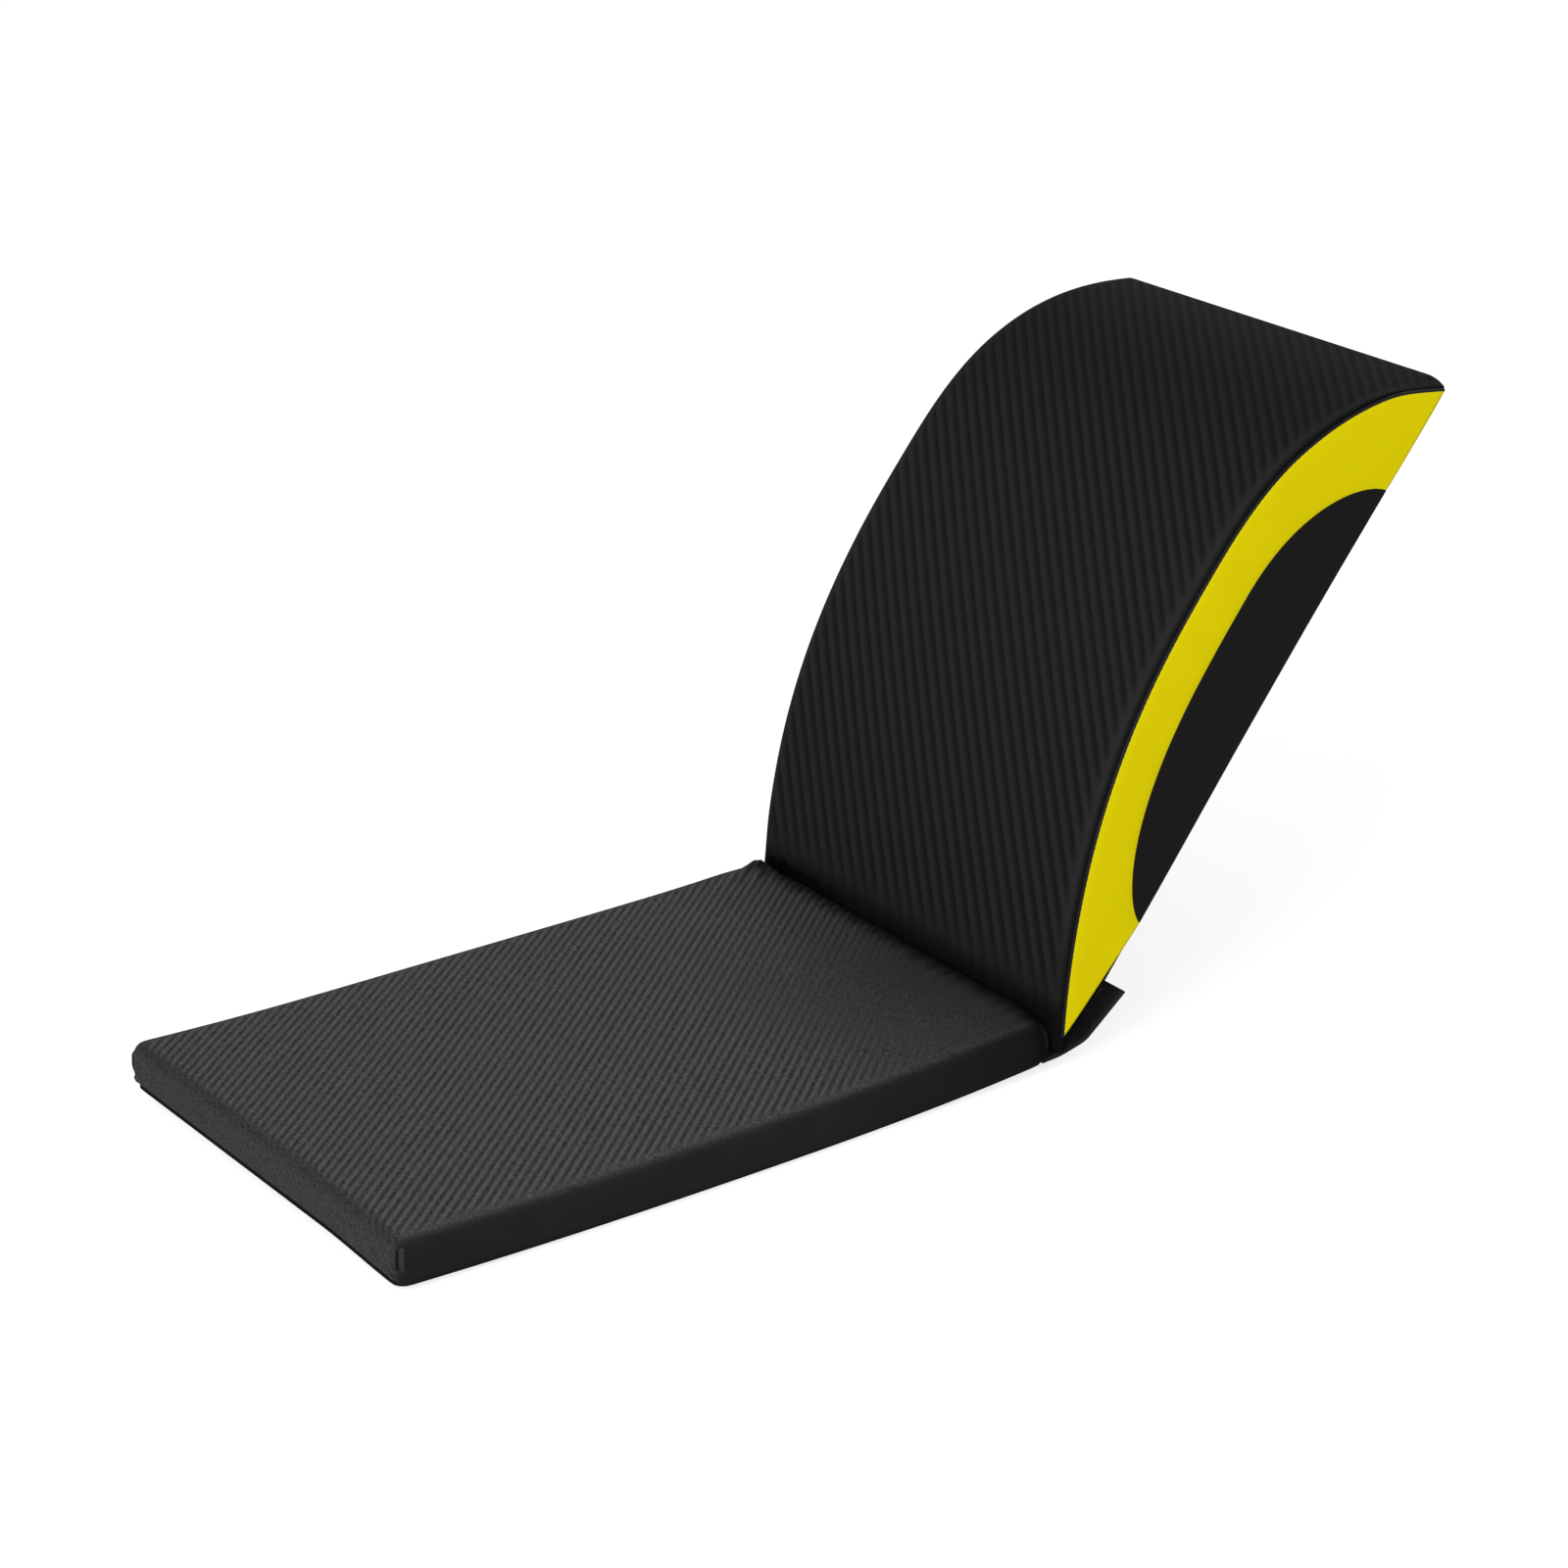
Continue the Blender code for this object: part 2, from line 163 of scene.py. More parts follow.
class MatSlabSizes(bpy.types.PropertyGroup):
    """Sizes of the padded slab."""

    edge_height: length("Edge height", "Height of the top cloth along the edges", 26.8 * MM)
    top_round: length("Top round", "Radius where the top rolls into the sides", 6.5 * MM)
    bottom_round: length("Bottom round", "Radius along the floor edges", 3.0 * MM)
    foot_round: length("Foot round", "How far the free end's corners are rounded at their foot", 5.5 * MM)
    hinge_round: length("Hinge round", "Radius of the edge that meets the dome", 6.5 * MM)
    corner_roll: length("Corner roll", "Extra radius of the hinge end's near corner", 5.5 * MM)
    bulge: length("Bulge", "How far the long sides bow out at mid length", 3.3 * MM)
    skew: length("Skew", "How far the free end's far corner stands out, and its near one in", 2.3 * MM)
    grow: length("Growth", "How far the free end's padding stands past the frame's slab", 1.4 * MM)
    free_lift: length("Free lift", "How far the free end curls off the floor", 4.3 * MM)
    hinge_lift: length("Hinge lift", "How far the hinge end is drawn off the floor", 3.8 * MM)
    press: length("Press", "How far the foam swells against the dome", 2.0 * MM)
    puff: length("Puff", "How far the side faces stand out at mid height", 0.9 * MM)
    peak: length("Peak", "Height of the pinched corner at the hinge's far end", 2.0 * MM)
    dip: length("Dip", "Drop of the near corner at the hinge", 1.6 * MM)
    gather: length("Gather", "Height of the folds round the pinched corner", 0.8 * MM)
    rib_pitch: length("Rib pitch", "Distance from rib to rib, square to them", 4.28 * MM)
    dash_pitch: length("Dash pitch", "Spacing of the twill's crossing lines", 4.8 * MM)
    dash_angle: turned("Dash angle", "Direction of the crossing lines, from the mat's width", 8)
    rib_height: length("Rib height", "Depth of the embossing", 0.2 * MM)
    rib_angle: turned("Rib angle", "Direction of the ribs, from the mat's length", 39.5)


class MatWedgeSizes(bpy.types.PropertyGroup):
    """Sizes of the domed wedge, along and square to its base."""

    tilt: turned("Tilt", "Slope of the wedge's base, as photographed", 51.4)
    length: length("Length", "Base length under the dome's curve", 406.8 * MM)
    height: length("Height", "Height of the dome over its base", 82.3 * MM)
    overhang: length("Overhang", "How far the curve starts before the hinge", 4.7 * MM)
    top_share: ratio("Top place", "Where the dome is highest, as a share of its length", 0.5895)
    front_power: ratio("Front power", "Power of the front curve", 2.29)
    rear_power: ratio("Rear power", "Power of the rear curve", 3.05)
    shoulder: length("Shoulder", "Radius over the two long edges", 5.2 * MM)
    rear_shoulder: length("Rear shoulder", "The same radius at the very rear", 2.0 * MM)
    corner: length("Corner", "How far the near rear corner is rounded off", 4 * MM)
    far_corner: length("Far corner", "The same at the far rear corner, which is sharper", 0.8 * MM)
    nose: length("Nose", "How much of the nose is rounded off", 8.5 * MM)
    flare: length("Flare", "How far each side face stands out at the nose", 3.3 * MM)
    waist: length("Waist", "How far each side face is drawn in over the middle", 1.1 * MM)
    hollow: length("Hollow", "How far the base rises between nose and middle", 0.9 * MM)
    gather: length("Gather", "Height of the folds over the crease", 0.35 * MM)
    rib_pitch: length("Rib pitch", "Distance from rib to rib across the wedge", 9.8 * MM)
    rib_height: length("Rib height", "Depth of the embossing", 0.35 * MM)
    inset_front: length("Inset front", "Yellow left at the front of the base", 87 * MM)
    inset_rear: length("Inset rear", "Yellow left at the rear of the base", 66 * MM)
    inset_rim: length("Inset rim", "Yellow left over the black inset", 33.4 * MM)


class MatColours(bpy.types.PropertyGroup):
    """Colours of the cloths."""

    # The slab's crest and groove colours are a painted highlight on the embossing's crests and painted
    # shade in its grooves
    slab_crest_highlight: colour("Slab crest", "Crests of the slab's embossing", "#545454")
    slab_groove_shade: colour("Slab groove", "Grooves of the slab's embossing", "#262626")
    # The slab's side colour is painted shade for the long sides, which face away from the light
    slab_side_shade: colour("Slab side", "Smooth cloth down the long sides", "#202020")
    # The dome's crest and groove colours are a painted highlight and painted shade on each rib
    dome_rib_highlight: colour("Dome crest", "Light line of the dome's embossing", "#282828")
    dome_rib_shade: colour("Dome groove", "Dark line of the dome's embossing", "#121212")
    yellow: colour("Yellow", "The side arches", "#E2D203")
    inset: colour("Inset", "The black half ovals in the sides", "#191818")
    base: colour("Base", "Non-slip cloth underneath", "#121213")
    tape: colour("Tape", "Fastening tapes", "#151515")
    thread: colour("Thread", "Sewing thread", "#0A080E")


# Meshes


def grid_faces(rows, columns, wrap=False):
    """Corner numbers of the quads of a grid of points; wrap joins the last column to the first."""
    number = np.arange(rows * columns).reshape(rows, columns)
    if wrap:
        number = np.concatenate([number, number[:, :1]], axis=1)
    corners = [number[:-1, :-1], number[:-1, 1:], number[1:, 1:], number[1:, :-1]]
    return np.stack(corners, axis=-1).reshape(-1, 4)


def welded(points, faces):
    """Joins the points that share a place, and drops the faces that this flattens.

    Returns the points, the quads, the triangles, the old number of each point that is kept, and
    the new number of each old point.
    """
    cell = np.round(points / WELD).astype(np.int64)
    _, first, place = np.unique(cell, axis=0, return_index=True, return_inverse=True)
    place = place.ravel()
    faces = place[faces]
    same = faces == np.roll(faces, -1, axis=1)
    pairs = same.sum(axis=1)
    cut = faces[pairs == 1]
    start = same[pairs == 1].argmax(axis=1)[:, None]
    triangles = np.take_along_axis(cut, (start + [[1, 2, 3]]) % 4, axis=1)
    return points[first], faces[pairs == 0], triangles, first, place


def make_mesh(name, points, *groups):
    """A mesh of these points and groups of faces."""
    mesh = bpy.data.meshes.new(name)
    faces = [list(face) for group in groups for face in group]
    mesh.from_pydata(np.asarray(points).reshape(-1, 3).tolist(), [], faces)
    mesh.validate()
    mesh.update()
    return mesh


def closed_mesh(name, points, *groups):
    """The same for a closed surface, with its faces turned outwards."""
    mesh = make_mesh(name, points, *groups)
    bm = bmesh.new()
    bm.from_mesh(mesh)
    bmesh.ops.recalc_face_normals(bm, faces=bm.faces)
    bm.to_mesh(mesh)
    bm.free()
    mesh.update()
    return mesh


def places(mesh):
    """The mesh's points as an array."""
    values = np.zeros(len(mesh.vertices) * 3, np.float32)
    mesh.vertices.foreach_get("co", values)
    return values.reshape(-1, 3).astype(float)


def normals(mesh):
    """The mesh's point normals as an array."""
    values = np.zeros(len(mesh.vertices) * 3, np.float32)
    mesh.vertex_normals.foreach_get("vector", values)
    return values.reshape(-1, 3).astype(float)


def move_to(mesh, points):
    """Puts the mesh's points at new places."""
    mesh.vertices.foreach_set("co", points.astype(np.float32).ravel())
    mesh.update()


def paint(mesh, name, values):
    """Stores one number for each point, for a material to read."""
    layer = mesh.attributes.new(name, "FLOAT", "POINT")
    layer.data.foreach_set("value", values.astype(np.float32))


def linked(name, data):
    """A new object of this data, in the scene."""
    thing = bpy.data.objects.new(name, data)
    bpy.context.scene.collection.objects.link(thing)
    return thing


def add_piece(mesh, body, material):
    """An object of this mesh, smooth shaded, that rides on a body."""
    mesh.shade_smooth()
    mesh.materials.append(material)
    piece = linked(mesh.name, mesh)
    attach(piece, body)
    return piece


def add_cloth(piece, thickness, offset):
    """Gives an open surface its cloth."""
    wall = piece.modifiers.new("cloth", "SOLIDIFY")
    wall.thickness = thickness
    wall.offset = offset
    wall.use_even_offset = False


def smooth_step(value, low, high):
    """0 below low, 1 above high, and an even S between them."""
    share = np.clip((value - low) / (high - low), 0, 1)
    return share * share * (3 - 2 * share)


def hump(value, centre, spread):
    """A bell of height 1 about the centre."""
    return np.exp(-(((value - centre) / spread) ** 2))


def unit(vectors):
    """The same vectors at length 1."""
    return vectors / np.linalg.norm(vectors, axis=-1, keepdims=True)


def run_along(path):
    """The length of a path up to each of its points."""
    return np.concatenate([[0], np.cumsum(np.linalg.norm(np.diff(path, axis=0), axis=1))])


def path_at(path, run, wanted):
    """The path's places where its running measure has the wanted values."""
    return np.stack([np.interp(wanted, run, values) for values in path.T], axis=1)


def evenly(path, count):
    """The path's points laid out anew at even steps."""
    run = run_along(path)
    return path_at(path, run, np.linspace(0, run[-1], count))


def drifting_wave(y, wave, drift, swing):
    """A wave whose folds come closer and wider: cos(y / wave + swing sin(y / drift))."""
    return np.cos(y / wave + swing * np.sin(y / drift))


# A padded form: a loop carried along an axis, and closed at both ends


def loop_normals(loop):
    """Outward unit normals of a closed loop that runs clockwise."""
    way = np.roll(loop, -1, axis=0) - np.roll(loop, 1, axis=0)
    way /= np.linalg.norm(way, axis=1)[:, None]
    return np.stack([-way[:, 1], way[:, 0]], axis=1)


SNAP = 0.35


def carried_form(loop, middle, rounds, half, lean, step, steps, lips=()):
    """A closed form in rows along an axis and columns round a loop, as (rows, columns, 3).

    A line that comes nearer than SNAP steps to an end's round is put on its edge.

    Between the ends, the point of line t and column i stands at t + lean[i] along the axis, held
    inside the end's round, so the lines follow the ribs. Each end then turns over a quarter
    circle of radius rounds[end][i], follows the lips (drop along the axis, further inset), and
    runs in to the middle. The columns are set in along the loop's normals.
    """
    normal = loop_normals(loop)
    reach = half + np.abs(lean).max()
    count = int(round(2 * reach / step))
    lines = (np.arange(count + 1) - count / 2)[:, None] * step
    along = lines + lean
    snap = SNAP * step
    start, end = -half + rounds[0], half - rounds[1]
    along = np.where(along < start + snap, start, along)
    along = np.where(along > end - snap, end, along)
    body = np.concatenate(
        [along[..., None], np.broadcast_to(loop, (*along.shape, 2))], axis=-1
    )
    rows = [[], []]
    turns = np.linspace(0, np.pi / 2, steps[0] + 1)[1:]
    for side, sign in ((0, -1), (1, 1)):
        radius = rounds[side]
        stations = [
            (half - radius * (1 - np.sin(turn)), radius * (1 - np.cos(turn))) for turn in turns
        ]
        stations += [(half - drop + 0 * radius, radius + inset) for drop, inset in lips]
        for place, inset in stations:
            ring = loop - inset[:, None] * normal
            rows[side].append(np.concatenate([sign * place[:, None], ring], axis=1))
        face, ring = sign * stations[-1][0][:, None], rows[side][-1][:, 1:]
        for share in np.linspace(0, 1, steps[1] + 1)[1:]:
            inner = ring + share * (middle - ring)
            rows[side].append(np.concatenate([face, inner], axis=1))
    return np.concatenate([np.array(rows[0][::-1]), body, np.array(rows[1])])


def cloth_swell(points, cap):
    """How far each point of a closed form moves when its cloth is blown up a little.

    The form, shrunk a little, becomes a cloth under pressure without gravity, stepped over the
    frames. The longest move is brought down to the cap, and all the others in step with it.
    """
    rows, columns, _ = points.shape
    flat = points.reshape(-1, 3)
    joined, quads, triangles, _, place = welded(flat, grid_faces(rows, columns, wrap=True))
    centre = joined.mean(axis=0)
    start = centre + SWELL_START * (joined - centre)
    mesh = closed_mesh("swelling_cloth", start, quads, triangles)
    cloth_object = linked("swelling_cloth", mesh)
    scene = bpy.context.scene
    cloth = cloth_object.modifiers.new("swell", "CLOTH")
    for name, value in SWELL_CLOTH.items():
        setattr(cloth.settings, name, value)
    cloth.settings.effector_weights.gravity = 0
    cloth.point_cache.frame_start = 1
    cloth.point_cache.frame_end = SWELL_FRAMES
    for number in range(1, SWELL_FRAMES + 1):
        scene.frame_set(number)
    shown = cloth_object.evaluated_get(bpy.context.evaluated_depsgraph_get())
    move = places(shown.data) - start
    scene.frame_set(1)
    bpy.data.objects.remove(cloth_object)
    bpy.data.meshes.remove(mesh)
    longest = np.linalg.norm(move, axis=1).max()
    move *= cap / max(longest, cap)
    return move[place]


def swell_of(spots, form):
    """The moves of a fine form's points, as a Gaussian mean of a coarse form's moves nearby."""
    moves = cloth_swell(form, SWELL_CAP)
    sources = form.reshape(-1, 3)
    mean = []
    for part in np.array_split(spots, len(spots) // 4000 + 1):
        gap = (part**2).sum(1)[:, None] + (sources**2).sum(1) - 2 * part @ sources.T
        weight = np.exp(-np.maximum(gap, 0) / SWELL_REACH**2) + 1e-9
        mean.append(weight @ moves / weight.sum(1)[:, None])
    return np.concatenate(mean)


# The slab


def slab_loop(sizes, cells):
    """The slab's cross-section: a rounded oblong in Y and Z, with its middle and its height shares.

    The middle is where the end faces close, and the shares run from 0 at the floor to 1 on top.
    """
    low, high = BASE_CLOTH + SEAT, sizes.edge_height
    top, bottom = sizes.top_round, sizes.bottom_round
    flat, floor = HALF_WIDTH - top, HALF_WIDTH - bottom
    quarter = np.linspace(0, np.pi / 2, 8)[1:]
    small = np.linspace(0, np.pi / 2, 6)
    rise = np.linspace(high - top, low + bottom, 6)[1:-1]
    across = np.linspace(-flat, flat, cells + 1)
    side = np.concatenate(
        [
            np.stack([flat + top * np.sin(quarter), high - top * (1 - np.cos(quarter))], axis=1),
            np.stack([np.full(len(rise), HALF_WIDTH), rise], axis=1),
            np.stack([floor + bottom * np.cos(small), low + bottom * (1 - np.sin(small))], axis=1),
        ]
    )
    ceiling = np.stack([across, np.full(len(across), high)], axis=1)
    ground = np.stack([across[::-1], np.full(len(across), low)], axis=1)
    loop = np.concatenate([ceiling, side, ground, side[::-1] * (-1, 1)])
    half_height = (high - low) / 2
    spine = np.clip(loop[:, 0], -HALF_WIDTH + half_height, HALF_WIDTH - half_height)
    middle = np.stack([spine, np.full(len(loop), low + half_height)], axis=1)
    return loop, middle, (loop[:, 1] - low) / (high - low)


# Folds that the fan would have in a full turn, the powers that keep the puff to the side and end
# faces, and the shares of length and height between which the foam swells against the dome
FAN_FOLDS = 15
SIDE_POWER, END_POWER = 20, 30
PRESS_ALONG, PRESS_UP = 0.93, 0.35
# How much less the free end's near corner lifts, from which share of the width on, and how much
# lower the ripples are than the fan's folds
NEAR_LESS, NEAR_FROM = 0.6, 0.45
RIPPLE_SHARE = 0.4


def gathers(x, y):
    """The cloth's folds at the crease: a fan round the pinched corner, and ripples along the end."""
    reach = np.hypot(x - SLAB_END, y - HALF_WIDTH)
    turn = np.arctan2(HALF_WIDTH - y, SLAB_END - x)
    fan = np.cos(FAN_FOLDS * turn) * hump(reach, 20 * MM, 15 * MM)
    return fan, drifting_wave(y, wave=2.1 * MM, drift=8.3 * MM, swing=1.4)


def slab_form(sizes, points):
    """Where a point of the plain slab lies on the padded one.

    The top is crowned, the sides bow out, both ends curl off the floor, the side faces puff out,
    and the end at the hinge presses against the dome. Its far corner is pinched up into a peak
    with folds that fan out from it, and its near corner dips.
    """
    x, y, z = np.moveaxis(points, -1, 0)
    low, high = BASE_CLOTH + SEAT, sizes.edge_height
    along, across = x / SLAB_END, y / HALF_WIDTH
    free, hinge = np.clip(-along, 0, 1), np.clip(along, 0, 1)
    up = np.clip((z - low) / (high - low), 0, 1)
    crown = (SLAB_HIGH.z - sizes.edge_height) * (1 - along**4) * (1 - across**4)
    lift = sizes.free_lift * free**3 * (1 - NEAR_LESS * smooth_step(-across, NEAR_FROM, 1))
    lift += sizes.hinge_lift * hinge**3
    belly = 4 * up * (1 - up) * sizes.puff
    peak = sizes.peak * hump(x, SLAB_END - 6 * MM, 4 * MM) * hump(y, HALF_WIDTH - 3 * MM, 5 * MM)
    dip = sizes.dip * hump(x, SLAB_END, 14 * MM) * hump(y, -HALF_WIDTH, 12 * MM)
    fan, ripple = gathers(x, y)
    folds = sizes.gather * (fan + RIPPLE_SHARE * ripple * hump(x, SLAB_END - 5 * MM, 6 * MM))
    swell = sizes.press * smooth_step(along, PRESS_ALONG, 1) * smooth_step(up, 0, PRESS_UP)
    stand = (sizes.grow + sizes.skew * across) * free
    new_x = x + swell - stand + belly * np.sign(along) * np.abs(along) ** END_POWER
    new_y = y + sizes.bulge * (1 - along**2) * across + belly * np.sign(across) * across**SIDE_POWER
    new_z = z + lift + (crown + peak - dip + folds) * up
    return np.stack([new_x, new_y, new_z], axis=-1)


def slab_grid(sizes, cells, step, lean_share, end_steps):
    """The slab's rows and columns, leaning along the ribs by a share of their slope."""
    loop, middle, up = slab_loop(sizes, cells)
    lean = lean_share * loop[:, 0] / math.tan(sizes.rib_angle)
    soft = sizes.foot_round + (sizes.top_round - sizes.foot_round) * up
    tight = sizes.bottom_round + (sizes.hinge_round - sizes.bottom_round) * up
    tight += sizes.corner_roll * up * hump(loop[:, 0], -HALF_WIDTH, 16 * MM)
    return carried_form(loop, middle, (soft, tight), SLAB_END, lean, step, end_steps)


def slab_weave(sizes, x, y):
    """Which rib, and which line of the faint set across, a point lies on: whole numbers are crests."""
    rib, dash = sizes.rib_angle, sizes.dash_angle
    return (
        (y * math.cos(rib) - x * math.sin(rib)) / sizes.rib_pitch,
        (x * math.cos(dash) - y * math.sin(dash)) / sizes.dash_pitch,
    )


def welded_mesh(name, grid, placed):
    """A closed mesh of a grid whose columns wrap, with its plain points and the placed ones.

    Placed takes the plain points' three coordinates and returns where they lie.
    """
    plain, quads, triangles, _, _ = welded(
        grid.reshape(-1, 3), grid_faces(*grid.shape[:2], wrap=True)
    )
    spot = placed(*plain.T)
    mesh = closed_mesh(name, spot, quads, triangles)
    return mesh, plain.T, spot


# How much the slab's cloth is darkened by painted shade: on the worn patch near the hinge, near
# the crease, in the groove on the free end's roll, at the pressed edge; how much darker it is along
# the foot; how much painted light and shade goes over the fan's folds; and the painted shade on
# the free end's face
NEAR_HINGE_SHADE, CREASE_RAMP_SHADE, GROOVE_SHADE, CREASE_EDGE_SHADE, FOOT, FAN_LIGHT_AND_SHADE, END_FACE_SHADE = 0.27, 0.23, 0.42, 0.85, 0.6, 0.22, 0.24
# How much weaker the groove makes the ribs and their look, and how much of the look the end has
GROOVE_DEPTH, GROOVE_LOOK, END_LOOK = 0.6, 0.5, 0.2


def make_slab_cover(sizes, colours):
    """The slab's foam in its embossed cloth, one closed padded form.

    The ribs follow the cloth over the free end: there the drop from the top counts as length.
    They are worn off towards the crease, but for its far part, and end at the edges. The cloth is
    painted darker as shade on that worn patch, towards the crease, in the groove on the free end's
    roll and on the end face, with painted light and shade over the fan's folds.
    """
    step = sizes.rib_pitch / math.sin(sizes.rib_angle) / 8
    grid = slab_grid(sizes, 84, step, 1, (5, 5))
    coarse = slab_form(sizes, slab_grid(sizes, 20, 17 * MM, 0, (2, 2)))

    def placed(x, y, z):
        spot = slab_form(sizes, np.stack([x, y, z], axis=-1))
        rise = smooth_step(z, BASE_CLOTH, 0.6 * sizes.edge_height)
        return spot + swell_of(spot, coarse) * rise[:, None]

    mesh, (x, y, z), spot = welded_mesh("slab_cover", grid, placed)
    normal = normals(mesh)
    drop = (sizes.edge_height - z) * smooth_step(-x, SLAB_END - sizes.top_round, SLAB_END)
    rib, dash = slab_weave(sizes, x - drop, y)
    flat_top = smooth_step(normal[:, 2], 0.6, 0.97)
    hinge = smooth_step(x, SLAB_END - 150 * MM, SLAB_END - 50 * MM)
    # The worn patch loses its ribs, and is also painted darker there as shade
    worn_and_shaded = hinge * smooth_step(-y, -75 * MM, 55 * MM)
    roll_top = smooth_step(z, sizes.edge_height - 7 * MM, sizes.edge_height - 3.5 * MM)
    groove = hump(x, -SLAB_END + 2.6 * MM, 2.4 * MM) * roll_top
    ribbed = flat_top * smooth_step(HALF_WIDTH - np.abs(y), 3 * MM, 10 * MM) * (1 - worn_and_shaded)
    ribbed *= smooth_step(x, -SLAB_END + 1 * MM, -SLAB_END + 6 * MM)
    wave = 0.5 + 0.5 * np.cos(2 * np.pi * rib)
    depth = ribbed * (1 - GROOVE_DEPTH * groove) * sizes.rib_height * (wave - 1)
    move_to(mesh, spot + normal * depth[:, None])
    end_face = smooth_step(-normal[:, 0], 0.4, 0.9)
    late = smooth_step(x, SLAB_END - 75 * MM, SLAB_END - 4 * MM)
    fan, ripple = gathers(x, y)
    edge = smooth_step(x + 1.6 * MM * ripple, SLAB_END - 16.5 * MM, SLAB_END - 4.5 * MM)
    foot = 1 - smooth_step(z, BASE_CLOTH + 1 * MM, BASE_CLOTH + 4 * MM)
    # Painted shade: darker on the worn patch near the hinge, towards the crease, in the groove and at the
    # crease edge; the foot is darker too
    shade = (1 - NEAR_HINGE_SHADE * worn_and_shaded - CREASE_RAMP_SHADE * late - GROOVE_SHADE * groove) * (1 - CREASE_EDGE_SHADE * edge) * (1 - FOOT * foot)
    paint(mesh, "rib", rib)
    paint(mesh, "dash", dash)
    paint(mesh, "ribbed", np.maximum(ribbed * (1 - GROOVE_LOOK * groove), END_LOOK * end_face))
    # The long sides are painted darker as shade, by how far the surface faces sideways
    paint(mesh, "side", smooth_step(np.abs(normal[:, 1]), 0.3, 0.85))
    # Painted light and shade over the fan's folds, and painted shade on the free end's face
    paint(mesh, "shade", shade * (1 + FAN_LIGHT_AND_SHADE * fan) * (1 - END_FACE_SHADE * end_face))
    piece = add_piece(mesh, "pad", embossed_leathercloth(colours))
    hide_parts("pad_cover", "pad_foam")


def ring(grid, inset):
    """The closed loop of a grid's points that lies a few cells inside its rim."""
    inner = grid[inset:-inset, inset:-inset]
    return np.concatenate([inner[0, :-1], inner[:-1, -1], inner[-1, :0:-1], inner[::-1, 0]])


def make_hem(cloth, body, shape, colours, lift=0):
    """The stitches round a cloth, as spindles of thread that rise off it and go down again.

    At the share t of its length a stitch has the radius THREAD sin(pi t), and its middle stands
    half of that off the cloth.
    """
    read = (places(cloth.data), normals(cloth.data))
    spots, outs = (ring(values.reshape(*shape, 3), HEM_CELLS) for values in read)
    run = run_along(spots)
    wanted = np.arange(STITCH_PITCH / 2, run[-1] - STITCH_PITCH / 4, STITCH_PITCH)
    out = unit(path_at(outs, run, wanted))
    before, after = (path_at(spots, run, wanted + way * STITCH_LENGTH / 4) for way in (-1, 1))
    way = unit(after - before)
    frames = np.stack([way, np.cross(out, way), out], axis=1)
    rows, sides = 5, 6
    share = np.linspace(0, 1, rows)[:, None]
    turn = np.linspace(0, 2 * np.pi, sides, endpoint=False)
    thick = THREAD * np.sin(np.pi * share)
    along = (share - 0.5) * STITCH_LENGTH + 0 * turn
    local = np.stack([along, thick * np.cos(turn), thick * (np.sin(turn) + 0.5)], axis=-1)
    middles = path_at(spots, run, wanted) + lift * out
    points = middles[:, None, None] + np.einsum("rsk,nkx->nrsx", local, frames)
    first = np.arange(len(wanted))[:, None, None] * rows * sides
    faces = (grid_faces(rows, sides, wrap=True) + first).reshape(-1, 4)
    points, quads, triangles, _, _ = welded(points.reshape(-1, 3), faces)
    mesh = closed_mesh(f"{cloth.name}_hem", points, quads, triangles)
    return add_piece(mesh, body, sewing_thread(colours))


def make_slab_base(sizes, colours):
    """The non-slip cloth under the slab, which follows its curl."""
    inset = 1.0 * MM
    half_long, half_wide = SLAB_END - inset, HALF_WIDTH - inset
    along, across = np.linspace(-1, 1, 96) * half_long, np.linspace(-1, 1, 64) * half_wide
    x, y = np.meshgrid(along, across, indexing="ij")
    flat = np.stack([x, y, np.full(x.shape, BASE_CLOTH + SEAT)], axis=-1)
    points = slab_form(sizes, round_corners(flat, 6 * MM))
    points[..., 2] -= SEAT
    mesh = make_mesh("slab_base_cloth", points, grid_faces(*x.shape)[:, ::-1])
    piece = add_piece(mesh, "pad", nonslip_cloth(colours))
    add_cloth(piece, BASE_CLOTH, 1)
    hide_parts("pad_base")
    hem = make_hem(piece, "pad", x.shape, colours, lift=BASE_CLOTH)


def round_corners(points, radius):
    """Pulls the corners of a flat oblong grid onto quarter circles."""
    x, y = points[..., 0], points[..., 1]
    far_x, far_y = np.abs(x).max() - radius, np.abs(y).max() - radius
    over_x, over_y = np.maximum(np.abs(x) - far_x, 0), np.maximum(np.abs(y) - far_y, 0)
    size = np.hypot(over_x, over_y)
    longest = np.maximum(over_x, over_y)
    shrink = np.where(size > 0, longest / np.maximum(size, WELD), 1)
    moved = points.copy()
    moved[..., 0] = np.where(over_x > 0, np.sign(x) * (far_x + over_x * shrink), x)
    moved[..., 1] = np.where(over_y > 0, np.sign(y) * (far_y + over_y * shrink), y)
    return moved


def swept(path, across, out, profile, scale=None):
    """A closed strip: each profile point (a, b) stands a along across and b along out of the path.

    Path, across and out are (stations, 3), and scale makes the profile larger or smaller at each
    station. The strip's two ends are closed with flat faces.
    """
    size = np.ones(len(path)) if scale is None else scale
    offset = profile[None, :, :1] * across[:, None] + profile[None, :, 1:] * out[:, None]
    points = path[:, None] + size[:, None, None] * offset
    stations, sides = points.shape[:2]
    faces = grid_faces(stations, sides, wrap=True).tolist()
    faces.append(list(range(sides)))
    faces.append(list(range((stations - 1) * sides, stations * sides)))
    return points.reshape(-1, 3), faces


def two_lobes(width, height, points=32):
    """A seam's profile: two rolls side by side, with a crease between them.

    The crease takes 45 % of the height, over 0.3 of half the width.
    """
    turn = np.linspace(0, 2 * np.pi, points, endpoint=False)
    pinch = 1 - 0.45 * hump(np.cos(turn), 0, 0.3) * (np.sin(turn) > 0)
    return np.stack([width / 2 * np.cos(turn), height / 2 * np.sin(turn) * pinch], axis=1)


